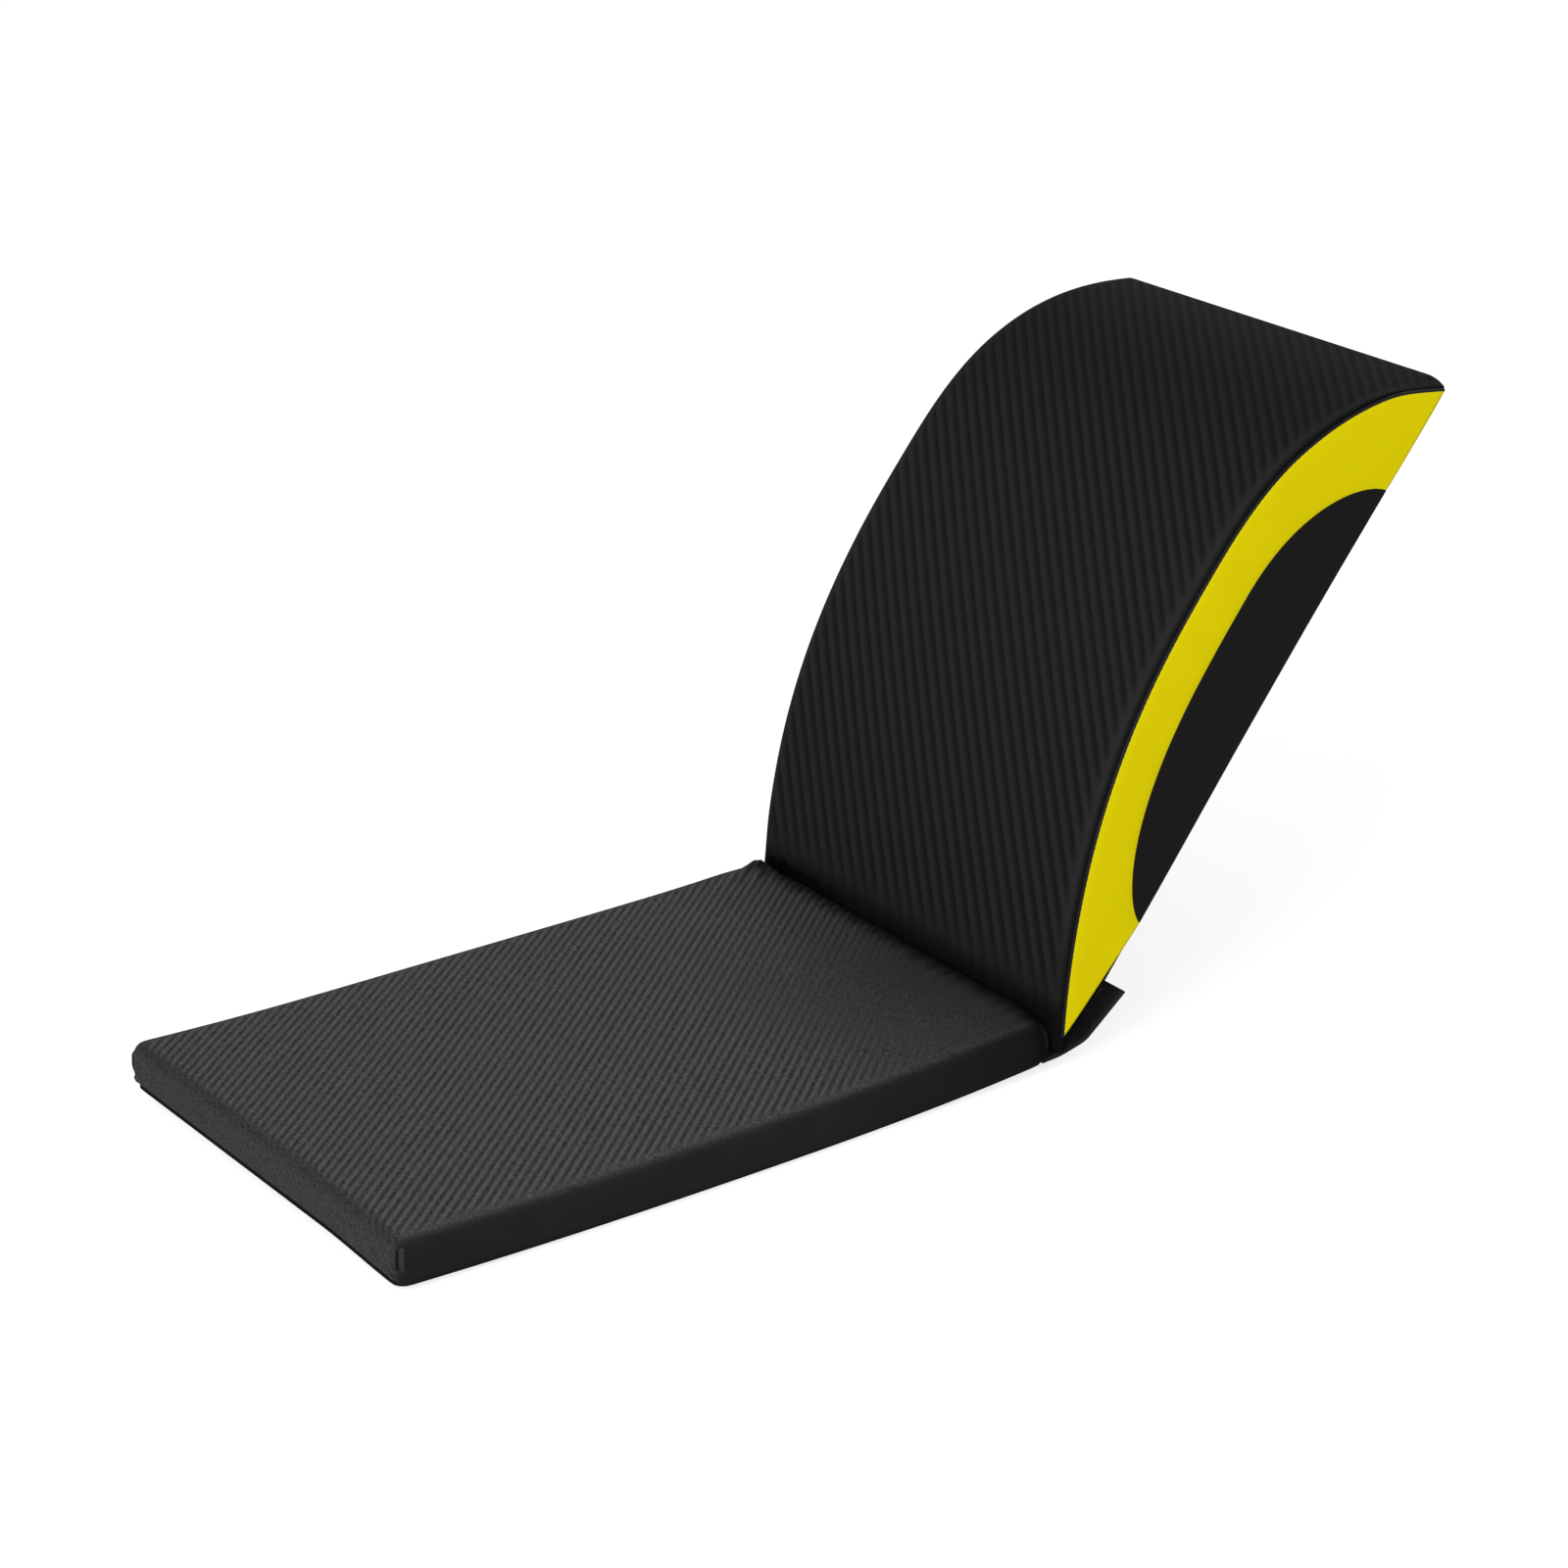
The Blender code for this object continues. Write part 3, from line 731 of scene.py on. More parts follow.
def make_corner_seams(sizes, colours):
    """The seam down each corner of the slab's cover: two rolls of cloth with a crease between.

    Each sinks into the corner at its head and foot, and is all dark at the crease. The two at the
    hinge end are painted darker all over as shade.
    """
    low, high = BASE_CLOTH + SEAT, sizes.edge_height
    rise = np.linspace(0.1, 0.86, 40)
    profile = two_lobes(6.4 * MM, 2.8 * MM)
    crease = hump(profile[:, 0], 0, 0.8 * MM) * (profile[:, 1] > 0)
    ends = smooth_step(rise, 0.7, 0.9) + smooth_step(-rise, -0.5, -0.1)
    for number, (end, side) in enumerate(((-1, -1), (-1, 1), (1, -1), (1, 1)), start=1):
        upper = sizes.top_round if end < 0 else sizes.hinge_round
        if (end, side) == (1, -1):
            upper += sizes.corner_roll
        foot = sizes.foot_round if end < 0 else sizes.bottom_round
        radius = foot + (upper - foot) * rise
        out = unit(np.array([end, side, 0.0]))
        x, y = end * (SLAB_END - radius), side * (HALF_WIDTH - radius)
        centre = np.stack([x, y, low + (high - low) * rise], axis=1)
        sunk = 0.5 * MM + 2.4 * MM * ends
        path = slab_form(sizes, centre + out * (radius - sunk)[:, None])
        outs = np.broadcast_to(out, path.shape)
        across = np.broadcast_to(np.cross(out, np.array([0, 0, 1.0])), path.shape)
        points, faces = swept(path, across, outs, profile)
        mesh = closed_mesh(f"slab_corner_seam_{number}", points, faces)
        # The crease between the rolls is dark; the seams at the hinge end are painted darker as shade
        joint_and_hinge_shade = np.maximum(crease, 0.75 if end > 0 else 0.0)
        paint(mesh, "crease", np.tile(joint_and_hinge_shade, len(path)))
        piece = add_piece(mesh, "pad", seam_leathercloth(colours))
        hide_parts(f"pad_corner_welt_{number}")


# The wedge, in its own frame: u along the base from the hinge, w square to it


# Places on the wedge: how far the rear corners' rounding reaches, where it is drawn in and over
# what share, and where its base is hollow, over what length and up to what height
CORNER_REACH = 30 * MM
WAIST_PLACE, WAIST_SPREAD = 0.67, 0.22
HOLLOW_PLACE, HOLLOW_SPREAD, HOLLOW_HEIGHT = 40 * MM, 55 * MM, 40 * MM


def to_world(sizes, u, y, w):
    """A place in the wedge's frame as a place in the row frame, with the foam's slack.

    The sides stand out at the nose, are drawn in a little over the middle, the two rear corners
    are rounded, and the base is a little hollow behind the nose.
    """
    rear = sizes.length - sizes.overhang
    corner = np.where(y < 0, sizes.corner, sizes.far_corner)
    over = np.clip(1 + (np.abs(y) - HALF_WIDTH) / (4 * corner), 0, 1)
    pull = corner * over**2 * smooth_step(u, rear - CORNER_REACH, rear)
    flare = sizes.flare * (1 - smooth_step(u, 0, rear / 2))
    waist = sizes.waist * hump(u, WAIST_PLACE * rear, WAIST_SPREAD * rear)
    across, up = math.cos(sizes.tilt), math.sin(sizes.tilt)
    run = u - pull
    low = np.clip(1 - w / HOLLOW_HEIGHT, 0, 1)
    w = w + sizes.hollow * hump(u, HOLLOW_PLACE, HOLLOW_SPREAD) * low
    x, z = HINGE[0] + run * across - w * up, HINGE[2] + run * up + w * across
    return np.stack([x, y * (1 + (flare - waist) / HALF_WIDTH), z], axis=-1)


def dome_height(sizes, u):
    """Height of the dome over its base: H (1 - s ** power), s from 1 at either end to 0 on top."""
    top = sizes.length * sizes.top_share
    run = np.clip(u + sizes.overhang, 0, sizes.length)
    front = np.clip(1 - run / top, 0, 1) ** sizes.front_power
    rear = np.clip((run - top) / (sizes.length - top), 0, 1) ** sizes.rear_power
    return sizes.height * (1 - np.where(run < top, front, rear))


def wedge_outline(sizes, spacing):
    """The wedge's outline, clockwise from its base at the nose, with its corners softened.

    The nose is a quadratic Bezier curve. The outline is laid out evenly at a fine spacing and
    passed through a narrow Gaussian.
    """
    turn = np.linspace(0, np.pi, 700)
    rear = sizes.length - sizes.overhang
    u = SEAT + (rear - SEAT) * (1 - np.cos(turn)) / 2
    arch = np.stack([u, dome_height(sizes, u)], axis=1)
    arch = arch[np.hypot(*arch.T) > sizes.nose]
    base = np.stack([u[::-1], 0 * u], axis=1)
    base = base[base[:, 0] > sizes.nose]
    share = np.linspace(0, 1, 60)[:, None]
    tip = np.array([SEAT, SEAT])
    nose = (1 - share) ** 2 * base[-1] + 2 * share * (1 - share) * tip + share**2 * arch[0]
    path = np.concatenate([nose, arch[1:], base[1:]])
    run = run_along(path)
    loop = path_at(path, run, np.arange(0, run[-1], spacing))
    softness = 1.0 * MM / spacing
    waves = np.fft.fftfreq(len(loop))[:, None]
    spectrum = np.fft.fft(loop, axis=0) * np.exp(-2 * (np.pi * softness * waves) ** 2)
    return np.real(np.fft.ifft(spectrum, axis=0))


def wedge_loop(sizes, fine, coarse, base_step):
    """Columns round the wedge: fine at the nose and the rear, coarse over the dome."""
    spacing, floor, ends = 0.25 * MM, 0.6 * MM, 6 * MM
    fine_until, coarse_from, rear_share = 10 * MM, 45 * MM, 0.6
    outline = wedge_outline(sizes, spacing)
    u, w = outline.T
    rear = sizes.length - sizes.overhang
    arch = w > floor
    edge = np.minimum(u, rear_share * (rear - u))
    step = np.where(arch, np.interp(edge, [fine_until, coarse_from], [fine, coarse]), base_step)
    step = np.where(~arch & ((u < ends) | (rear - u < ends)), fine, step)
    density = np.concatenate([[0], np.cumsum(spacing / step)])
    wanted = np.linspace(0, density[-1], int(density[-1]) + 1)[:-1]
    index = np.interp(wanted, density, np.arange(len(density)))
    closed = np.concatenate([outline, outline[:1]])
    return path_at(closed, np.arange(len(closed)), index)


# How far a rib moves across the wedge for each metre along its base, and square to it
RIB_ALONG, RIB_SQUARE = 0.984, -0.815


def rib_lean(u, w):
    """How far a rib has moved across the wedge at this place on the dome."""
    return RIB_ALONG * u + RIB_SQUARE * w


def shoulder_radius(sizes, u):
    """The radius over the wedge's long edges, which tightens towards the rear."""
    rear = sizes.length - sizes.overhang
    tight_from, tight_to = rear - 75 * MM, rear - 6 * MM
    tighter = smooth_step(u, tight_from, tight_to)
    return sizes.shoulder - (sizes.shoulder - sizes.rear_shoulder) * tighter


def wedge_grid(sizes, fine, coarse, base_step, step, lean_share):
    """The wedge's rows across and columns round its outline, in its own frame as (y, u, w).

    The shoulders' radius is 1.2 mm at the floor and grows with the height up to its full size.
    The side faces close half way along and at 45 % of the height, behind a small lip.
    """
    loop = wedge_loop(sizes, fine, coarse, base_step)
    lean = lean_share * rib_lean(loop[:, 0], loop[:, 1])
    edge = 1.2 * MM
    radius = np.minimum(shoulder_radius(sizes, loop[:, 0]), edge + np.maximum(loop[:, 1], 0))
    centre = np.array([sizes.length * 0.5, sizes.height * 0.45])
    lips = ((0.5 * MM, 0.35 * MM), (1.6 * MM, 0.5 * MM))
    return carried_form(loop, centre, (radius, radius), HALF_WIDTH, lean, step, (6, 3), lips)


def dome_phase(sizes, y, u, w):
    """Which rib a point of the dome lies on."""
    return (y - rib_lean(u, w)) / sizes.rib_pitch

# How black the dome's cloth is painted as shade beside the side seams, towards the rear, at the
# crease's near part, and how much more at its far part; and the share of the ribs' depth that is
# left at the crease
SEAM_SHADE, REAR_SHADE, CREASE_NEAR, CREASE_FAR = 0.9, 0.3, 0.5, 0.8
RIBS_LEFT = 0.1
# Share of the shoulder's radius, from the side, where the ribs end
RIBS_END = 0.55


def make_dome_cover(sizes, colours):
    """The wedge's foam in its ribbed cloth, one closed padded form.

    The ribs fade out over the shoulders and towards the crease, where the cloth is gathered in
    fine folds. Painted shade makes the cloth black at the crease, most towards the far side, dark
    beside the side seams, and a little darker towards the rear. The shoulders are painted lighter
    as a highlight.
    """
    grid = wedge_grid(sizes, 1.3 * MM, 3.2 * MM, 9 * MM, sizes.rib_pitch / 8, 1)
    rough = wedge_grid(sizes, 9 * MM, 16 * MM, 20 * MM, 15 * MM, 0)
    coarse = to_world(sizes, rough[..., 1], rough[..., 0], rough[..., 2])

    def top_and_inside(y, u, w):
        top = smooth_step(w - dome_height(sizes, u), -3 * MM, -1 * MM) * (w > 1 * MM)
        return top, HALF_WIDTH - RIBS_END * sizes.shoulder - np.abs(y)

    def placed(y, u, w):
        spot = to_world(sizes, u, y, w)
        top, inside = top_and_inside(y, u, w)
        over = top * smooth_step(inside, -4 * MM, 14 * MM)
        return spot + swell_of(spot, coarse) * over[:, None]

    mesh, (y, u, w), spot = welded_mesh("dome_cover_padded", grid, placed)
    top, inside = top_and_inside(y, u, w)
    run = np.hypot(u, w)
    phase = dome_phase(sizes, y, u, w)
    ribbed = smooth_step(inside, 0, 5 * MM) * top
    ribbed *= RIBS_LEFT + (1 - RIBS_LEFT) * smooth_step(run, 30 * MM, 52 * MM)
    ripple = drifting_wave(y, wave=1.9 * MM, drift=9.1 * MM, swing=1.6) + 0.6 * np.cos(y / (3.7 * MM))
    folds = sizes.gather * ripple * hump(run, 30 * MM, 13 * MM) * top
    depth = ribbed * sizes.rib_height * (rib_wave(phase) - 1) + folds
    move_to(mesh, spot + normals(mesh) * depth[:, None])
    # Painted shade: black at the crease, darker beside the side seams and towards the rear
    crease_shadow = 1 - smooth_step(run, 24 * MM, 40 * MM)
    far = CREASE_NEAR + CREASE_FAR * smooth_step(y, -20 * MM, 90 * MM)
    ragged = far * (1 - smooth_step(run + 0.8 * MM * ripple, 26 * MM, 32.5 * MM))
    beside_seam_shade = SEAM_SHADE * smooth_step(-inside, 0.6 * MM, 2.0 * MM)
    seam_and_rear_shade = beside_seam_shade + REAR_SHADE * smooth_step(u, 240 * MM, 390 * MM)
    paint(mesh, "rib", phase)
    paint(mesh, "ribbed", ribbed)
    paint(mesh, "dome_shade", np.maximum(np.maximum(crease_shadow, ragged), seam_and_rear_shade))
    # Painted highlight along the shoulders
    paint(mesh, "shoulder", hump(inside, 1.5 * MM, 3 * MM) * smooth_step(run, 40 * MM, 90 * MM))
    piece = add_piece(mesh, "wedge", ribbed_leathercloth(colours))
    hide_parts("dome_cover", "wedge_foam")


def rib_wave(phase):
    """The dome's embossing: a broad slope up and a short fall, from 0 to 1."""
    turn = 2 * np.pi * phase
    return 0.5 + (np.sin(turn) + 0.15 * np.sin(2 * turn)) / 2.2


# The inset's shares before and behind its top, and its powers along and up, front and rear
INSET_BEFORE, INSET_BEHIND = 0.657, 0.343
INSET_FRONT_POWERS, INSET_REAR_POWERS = (3.0, 1.55), (2.1, 1.5)


def inset_curve(sizes, count):
    """The black inset's arch: a half oval whose powers square its shoulders, front to rear.

    With powers m and n a part runs over (a cos(t) ** (2 / m), b sin(t) ** (2 / n)).
    """
    turn = np.linspace(0, np.pi / 2, count)
    height = sizes.height - sizes.inset_rim
    run = sizes.length - sizes.inset_front - sizes.inset_rear
    top = sizes.inset_front + run * INSET_BEFORE
    parts = []
    for way, share, (flat, steep) in (
        (-1, INSET_BEFORE, INSET_FRONT_POWERS),
        (1, INSET_BEHIND, INSET_REAR_POWERS),
    ):
        along = top + way * run * share * np.cos(turn) ** (2 / flat)
        parts.append(np.stack([along, height * np.sin(turn) ** (2 / steep)], axis=1))
    return np.concatenate([parts[0], parts[1][-2::-1]]) - (sizes.overhang, 0)


def panel_arch(sizes, count):
    """The yellow's outer edge: the dome's curve set in by most of the shoulder, nose to rear.

    It is kept where it is clear of the floor, of the nose and of the rear.
    """
    shoulder_share, floor, nose, rear = 0.85, 0.9 * MM, 14 * MM, 1.6 * MM
    outline = wedge_outline(sizes, 0.5 * MM)
    inset = shoulder_share * shoulder_radius(sizes, outline[:, 0])
    loop = outline - inset[:, None] * loop_normals(outline)
    keep = (loop[:, 1] > 0) & (outline[:, 1] > floor) & (np.hypot(*loop.T) > nose)
    keep &= loop[:, 0] < sizes.length - sizes.overhang - rear
    return evenly(loop[keep], count)


def panel_floor(u, base):
    """How low a side cloth reaches: to the base, but for a slant of 1 in 2 over the nose."""
    slant_end = 25 * MM
    return np.maximum(base, 0.5 * (slant_end - u))


def between(outer, inner, shares):
    """Rows of points from the outer curve to the inner one."""
    return outer[None] + shares[:, None, None] * (inner - outer)[None]


def make_side_cloth(sizes, name, node, rows, stand, side, material):
    """A side cloth from rows in the wedge's frame, each stood out from the side by its own length.

    It lies flat but for that, so its flat size is that of the oblong round its rows.
    """
    y = side * (HALF_WIDTH + (stand - SIDE_CLOTH / 2))[:, None] + 0 * rows[..., 0]
    points = to_world(sizes, rows[..., 0], y, rows[..., 1])
    turn = slice(None, None, -1) if side > 0 else slice(None)
    mesh = make_mesh(name, points, grid_faces(*rows.shape[:2])[:, turn])
    piece = add_piece(mesh, "wedge", material)
    add_cloth(piece, SIDE_CLOTH * 0.8, -1)
    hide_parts(node)


def make_side(sizes, colours, word, side):
    """One side's yellow arch and the black inset that it frames, with the seams round them.

    Between its seams the arch stands out by 0.5 mm, and the inset above its foot by 0.3 mm.
    """
    count = 260
    outer = panel_arch(sizes, count)
    window = evenly(inset_curve(sizes, 90), count)
    base = SEAT * 0.5
    outer[-1, 1] = base
    shares = (1 - np.cos(np.linspace(0, np.pi, 18))) / 2
    rows = between(outer, window, shares)
    rows[..., 1] = np.maximum(rows[..., 1], panel_floor(rows[..., 0], base))
    stand = 0.5 * MM * (1 - (2 * shares - 1) ** 6)
    cloth = smooth_leathercloth("yellow_leathercloth", colours.yellow)
    arch, panel = f"side_arch_{word}", f"side_panel_{word}"
    make_side_cloth(sizes, arch, panel, rows, stand, side, cloth)
    shares = np.linspace(0, 1, 14)
    rows = between(window, window * (1, 0) + (0, base), shares)
    rows[..., 1] = np.maximum(rows[..., 1], base)
    stand = 0.3 * MM * (1 - (1 - shares) ** 6)
    cloth = smooth_leathercloth("black_leathercloth", colours.inset)
    inset, panel = f"side_inset_cloth_{word}", f"side_inset_{word}"
    make_side_cloth(sizes, inset, panel, rows, stand, side, cloth)
    make_side_seam(sizes, colours, f"arch_seam_{word}", outer, side, 1.1 * MM)
    make_side_seam(sizes, colours, f"inset_seam_{word}", window, side, 0.6 * MM)


def make_side_seam(sizes, colours, name, curve, side, radius):
    """The sewn roll beside a side cloth, which each stitch nips in by 8 %."""
    stitch = 3.2 * MM
    curve = evenly(curve, 700)
    run = np.linspace(0, np.linalg.norm(np.diff(curve, axis=0), axis=1).sum(), len(curve))
    nip = 1 - 0.08 * np.cos(np.pi * run / stitch) ** 8
    y = side * np.full(len(curve), HALF_WIDTH - 0.5 * radius)
    path = to_world(sizes, curve[:, 0], y, curve[:, 1])
    way = unit(np.gradient(path, axis=0))
    out = np.broadcast_to(np.array([0, side, 0.0]), path.shape)
    turn = np.linspace(0, 2 * np.pi, 10, endpoint=False)
    circle = radius * np.stack([np.cos(turn), np.sin(turn)], axis=1)
    points, faces = swept(path, unit(np.cross(way, out)), out, circle, nip)
    mesh = closed_mesh(name, points, faces)
    add_piece(mesh, "wedge", sewing_thread(colours))


def make_wedge_base(sizes, colours):
    """The non-slip cloth over the wedge's base."""
    start, end = 0.8 * sizes.nose, sizes.length - sizes.overhang - 2 * MM
    half = HALF_WIDTH - 2 * MM
    u, y = np.meshgrid(np.linspace(start, end, 100), np.linspace(-half, half, 64), indexing="ij")
    points = to_world(sizes, u, y, 0 * u + 0.2 * MM)
    mesh = make_mesh("wedge_base_cloth", points, grid_faces(*u.shape)[:, ::-1])
    piece = add_piece(mesh, "wedge", nonslip_cloth(colours))
    add_cloth(piece, 0.8 * MM, -1)
    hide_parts("wedge_base")
    hem = make_hem(piece, "wedge", u.shape, colours)


# The flap and its tapes


# The flap's start under the slab, and its slopes: flat at first, then two bends between shares of
# its length
FLAP_START = (FLAP_LOW.x - 3 * MM, 6.6 * MM)
FLAP_SLOPE = math.radians(3)
FLAP_BENDS = ((math.radians(10.5), 0.1, 0.3), (math.radians(25), 0.4, 0.54))


def flap_path(inset, first, last, count):
    """The flap in X and Z at a distance inside its outer face, between two shares of its length.

    The flap leaves the slab nearly flat, bends up under the nose twice and then runs straight.
    Each bend is an S-shaped step of the slope, which is summed along the flap. Returns the path
    and the flap's whole length.
    """
    start = np.array(FLAP_START)
    share = np.linspace(0, 1, 600)
    slope = FLAP_SLOPE + sum(angle * smooth_step(share, low, high) for angle, low, high in FLAP_BENDS)
    way = np.stack([np.cos(slope), np.sin(slope)], axis=1)
    path = np.cumsum(way, axis=0) - way[0]
    scale = (FLAP_HIGH.x - start[0]) / path[-1, 0]
    path = start + scale * path + inset * np.stack([-way[:, 1], way[:, 0]], axis=1)
    return path_at(path, share, np.linspace(first, last, count)), scale * len(share)


def flap_rows(inset, first, last, half, rows, columns):
    """The same strip of the flap, as rows along it and columns across the mat."""
    path, _ = flap_path(inset, first, last, rows)
    x, y = np.meshgrid(path[:, 0], np.linspace(-half, half, columns), indexing="ij")
    return np.stack([x, y, np.broadcast_to(path[:, 1:], x.shape)], axis=-1)


def make_flap(colours):
    """The cloth flap and its hook tape, which lie flat under the lowered wedge."""
    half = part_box("hinge_flap")[1].y
    _, reach = flap_path(0, 0, 1, 2)
    points = flap_rows(0, 0, 1, half, 60, 90)
    mesh = make_mesh("hinge_flap_cloth", points, grid_faces(60, 90)[:, ::-1])
    cloth = add_piece(mesh, "pad", flap_leathercloth(colours))
    add_cloth(cloth, FLAP_CLOTH * 0.8, -1)
    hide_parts("hinge_flap")
    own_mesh(cloth)
    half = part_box("flap_hook_tape")[1].y
    end = 1 - HOOK_MARGIN / reach
    points = flap_rows(
        FLAP_CLOTH + SEAT, end - HOOK_WIDTH / reach, end, half, 51, PILE_COLUMNS
    )
    mesh = make_mesh("hook_tape", points, grid_faces(51, PILE_COLUMNS))
    tape, hem = make_tape(mesh, "pad", (51, PILE_COLUMNS), 0.35 * MM, colours)
    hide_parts("flap_hook_tape")
    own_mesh(tape)
    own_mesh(hem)


def make_tape(mesh, body, shape, height, colours):
    """A fastening tape with its pile and its hem, from the mesh of a plain strip.

    The pile is bumps of this height on every second crossing of the grid, but for a plain selvedge.
    """
    row, column = np.meshgrid(*(np.arange(count) for count in shape), indexing="ij")
    bump = ((row + column // 2) % 2 == 0) & (column % 2 == 0)
    rim = np.minimum(np.minimum(row, row[::-1]), np.minimum(column, column[:, ::-1]))
    pile = np.where(bump & (rim > 3), height, 0).ravel()
    move_to(mesh, places(mesh) + normals(mesh) * pile[:, None])
    tape = add_piece(mesh, body, fastening_tape(colours))
    add_cloth(tape, TAPE_CLOTH * 0.6, -1)
    return tape, make_hem(tape, body, shape, colours)


def make_loop_tape(sizes, colours):
    """The loop tape under the wedge."""
    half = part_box("wedge_loop_tape")[1].y
    along = np.linspace(LOOP_START, LOOP_START + LOOP_WIDTH, 81)
    u, y = np.meshgrid(along, np.linspace(-half, half, PILE_COLUMNS), indexing="ij")
    points = to_world(sizes, u, y, 0 * u - SEAT - TAPE_CLOTH * 0.7)
    mesh = make_mesh("loop_tape", points, grid_faces(*u.shape)[:, ::-1])
    piece, hem = make_tape(mesh, "wedge", u.shape, 0.2 * MM, colours)
    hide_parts("wedge_loop_tape")


# Materials


def add(tree, kind, inputs=None, **settings):
    """Adds a node, with its settings, and its inputs as values or as links from other sockets."""
    node = tree.nodes.new(kind)
    for name, value in settings.items():
        setattr(node, name, value)
    for key, value in (inputs or {}).items():
        if isinstance(value, bpy.types.NodeSocket):
            tree.links.new(value, node.inputs[key])
        else:
            node.inputs[key].default_value = value
    return node


def cloth_material(recipe):
    """Turns a recipe into a material that is made once, for every piece that asks for it.

    The recipe gets the node tree and the Object coordinates, in metres. It returns its colour,
    the shader's other inputs and, where it has bumps, their height, strength and depth in metres.
    """
    made = {}

    def found(*values):
        name = values[0] if isinstance(values[0], str) else recipe.__name__
        if name not in made:
            material = bpy.data.materials.new(name)
            material.use_nodes = True
            tree = material.node_tree
            shader = tree.nodes["Principled BSDF"]
            place = add(tree, "ShaderNodeTexCoord").outputs["Object"]
            base, looks, *bumps = recipe(tree, place, *values)
            tree.links.new(base, shader.inputs["Base Color"])
            for key, value in looks.items():
                shader.inputs[key].default_value = value
            for height, strength, depth in bumps:
                inputs = {"Height": height, "Strength": strength, "Distance": depth}
                bump = add(tree, "ShaderNodeBump", inputs)
                tree.links.new(bump.outputs[0], shader.inputs["Normal"])
            made[name] = material
        return made[name]

    return found


def matt(roughness, gloss=0.03):
    """The shader's inputs for a cloth of this roughness and this little gloss."""
    return {"Roughness": roughness, "Specular IOR Level": gloss}


def rgba(colour_value):
    """The same colour with full opacity."""
    return (*colour_value, 1)


def grain(tree, place, size, detail=3.0):
    """Noise whose bumps are about this size, in metres."""
    inputs = {"Vector": place, "Scale": 1 / size, "Detail": detail, "Roughness": 0.55}
    return add(tree, "ShaderNodeTexNoise", inputs).outputs["Fac"]


def maths(tree, operation, first, second=0.0):
    """The result of one sum."""
    return add(tree, "ShaderNodeMath", {0: first, 1: second}, operation=operation).outputs[0]


def times(tree, first, second):
    """The product of two numbers."""
    return maths(tree, "MULTIPLY", first, second)


def scaled(tree, value, factor, shift):
    """The value times a factor, plus a shift."""
    return maths(tree, "ADD", times(tree, value, factor), shift)


def mixed(tree, share, first, second):
    """A colour between two others."""
    node = add(tree, "ShaderNodeMix", {"Factor": share}, data_type="RGBA")
    for socket, value in ((node.inputs[6], first), (node.inputs[7], second)):
        if isinstance(value, bpy.types.NodeSocket):
            tree.links.new(value, socket)
        else:
            socket.default_value = rgba(value)
    return node.outputs[2]


def attribute(tree, name):
    """One of the numbers painted on the mesh's points."""
    return add(tree, "ShaderNodeAttribute", attribute_name=name).outputs["Fac"]


def wave_of(tree, turns, shift=0.0):
    """A cosine between 0 and 1 of a number of turns, shifted by an angle."""
    angle = scaled(tree, turns, 2 * math.pi, shift)
    return scaled(tree, maths(tree, "COSINE", angle), 0.5, 0.5)


@cloth_material
def embossed_leathercloth(tree, place, colours):
    """PVC leathercloth, calendered and embossed with a fine twill of diagonal ribs.

    The crests are painted a soft grey as a highlight over grooves painted darker as shade,
    faintly crossed by a second set. They are stronger here and weaker there, under a matt grain.
    Where the cloth is pulled round the sides it is plain, and painted darker there as shade; the
    painted shade on the mesh darkens it further.
    """
    crossed = scaled(tree, wave_of(tree, attribute(tree, "dash")), 0.08, -0.47)
    twill = scaled(tree, wave_of(tree, attribute(tree, "rib")), 0.86, crossed)
    weave = times(tree, twill, times(tree, grain(tree, place, 5 * MM), 2.0))
    uneven = scaled(tree, grain(tree, place, 1.3 * MM, 2.0), 1.7, -0.35)
    level = scaled(tree, times(tree, weave, attribute(tree, "ribbed")), 0.88, uneven)
    cloth = mixed(tree, level, colours.slab_groove_shade, colours.slab_crest_highlight)
    # The smooth side cloth's colour is painted shade for the sides turned away from the light
    low, high = (np.multiply(colours.slab_side_shade, factor) for factor in (0.8, 1.2))
    smooth = mixed(tree, grain(tree, place, 26 * MM, 2.0), low, high)
    base = mixed(tree, attribute(tree, "side"), cloth, smooth)
    base = mixed(tree, attribute(tree, "shade"), (0, 0, 0), base)
    skin = times(tree, grain(tree, place, 0.6 * MM), 0.5)
    return base, matt(0.7), (scaled(tree, level, 0.5, skin), 0.5, 0.2 * MM)


@cloth_material
def ribbed_leathercloth(tree, place, colours):
    """PVC leathercloth embossed with broad ribs, each a gentle slope and a short fall.

    Each rib has a thin line painted light as a highlight beside a thin one painted dark as shade,
    on a matt near-black. Painted shade takes it to full black at the crease and darkens it beside
    the side seams and towards the rear, and the plain shoulder is painted lighter as a highlight.
    """
    # Painted highlight and shade: the light and dark line of each rib
    rib = attribute(tree, "rib")
    double = wave_of(tree, times(tree, rib, 2.0), -math.pi / 2)
    line = scaled(tree, wave_of(tree, rib), 0.66, scaled(tree, double, 0.13, -0.395))
    uneven = scaled(tree, grain(tree, place, 1.6 * MM, 2.0), 0.5, 0.3)
    # The shoulder is painted lighter as a highlight, over a random unevenness
    shoulder_highlight_and_grain = scaled(tree, attribute(tree, "shoulder"), 0.45, uneven)
    level = scaled(tree, line, attribute(tree, "ribbed"), shoulder_highlight_and_grain)
    cloth = mixed(tree, level, colours.dome_rib_shade, colours.dome_rib_highlight)
    # Painted shade darkens the cloth towards black
    base = mixed(tree, times(tree, attribute(tree, "dome_shade"), 0.68), cloth, (0, 0, 0))
    return base, matt(0.7, gloss=0.01), (grain(tree, place, 0.6 * MM), 0.35, 0.2 * MM)


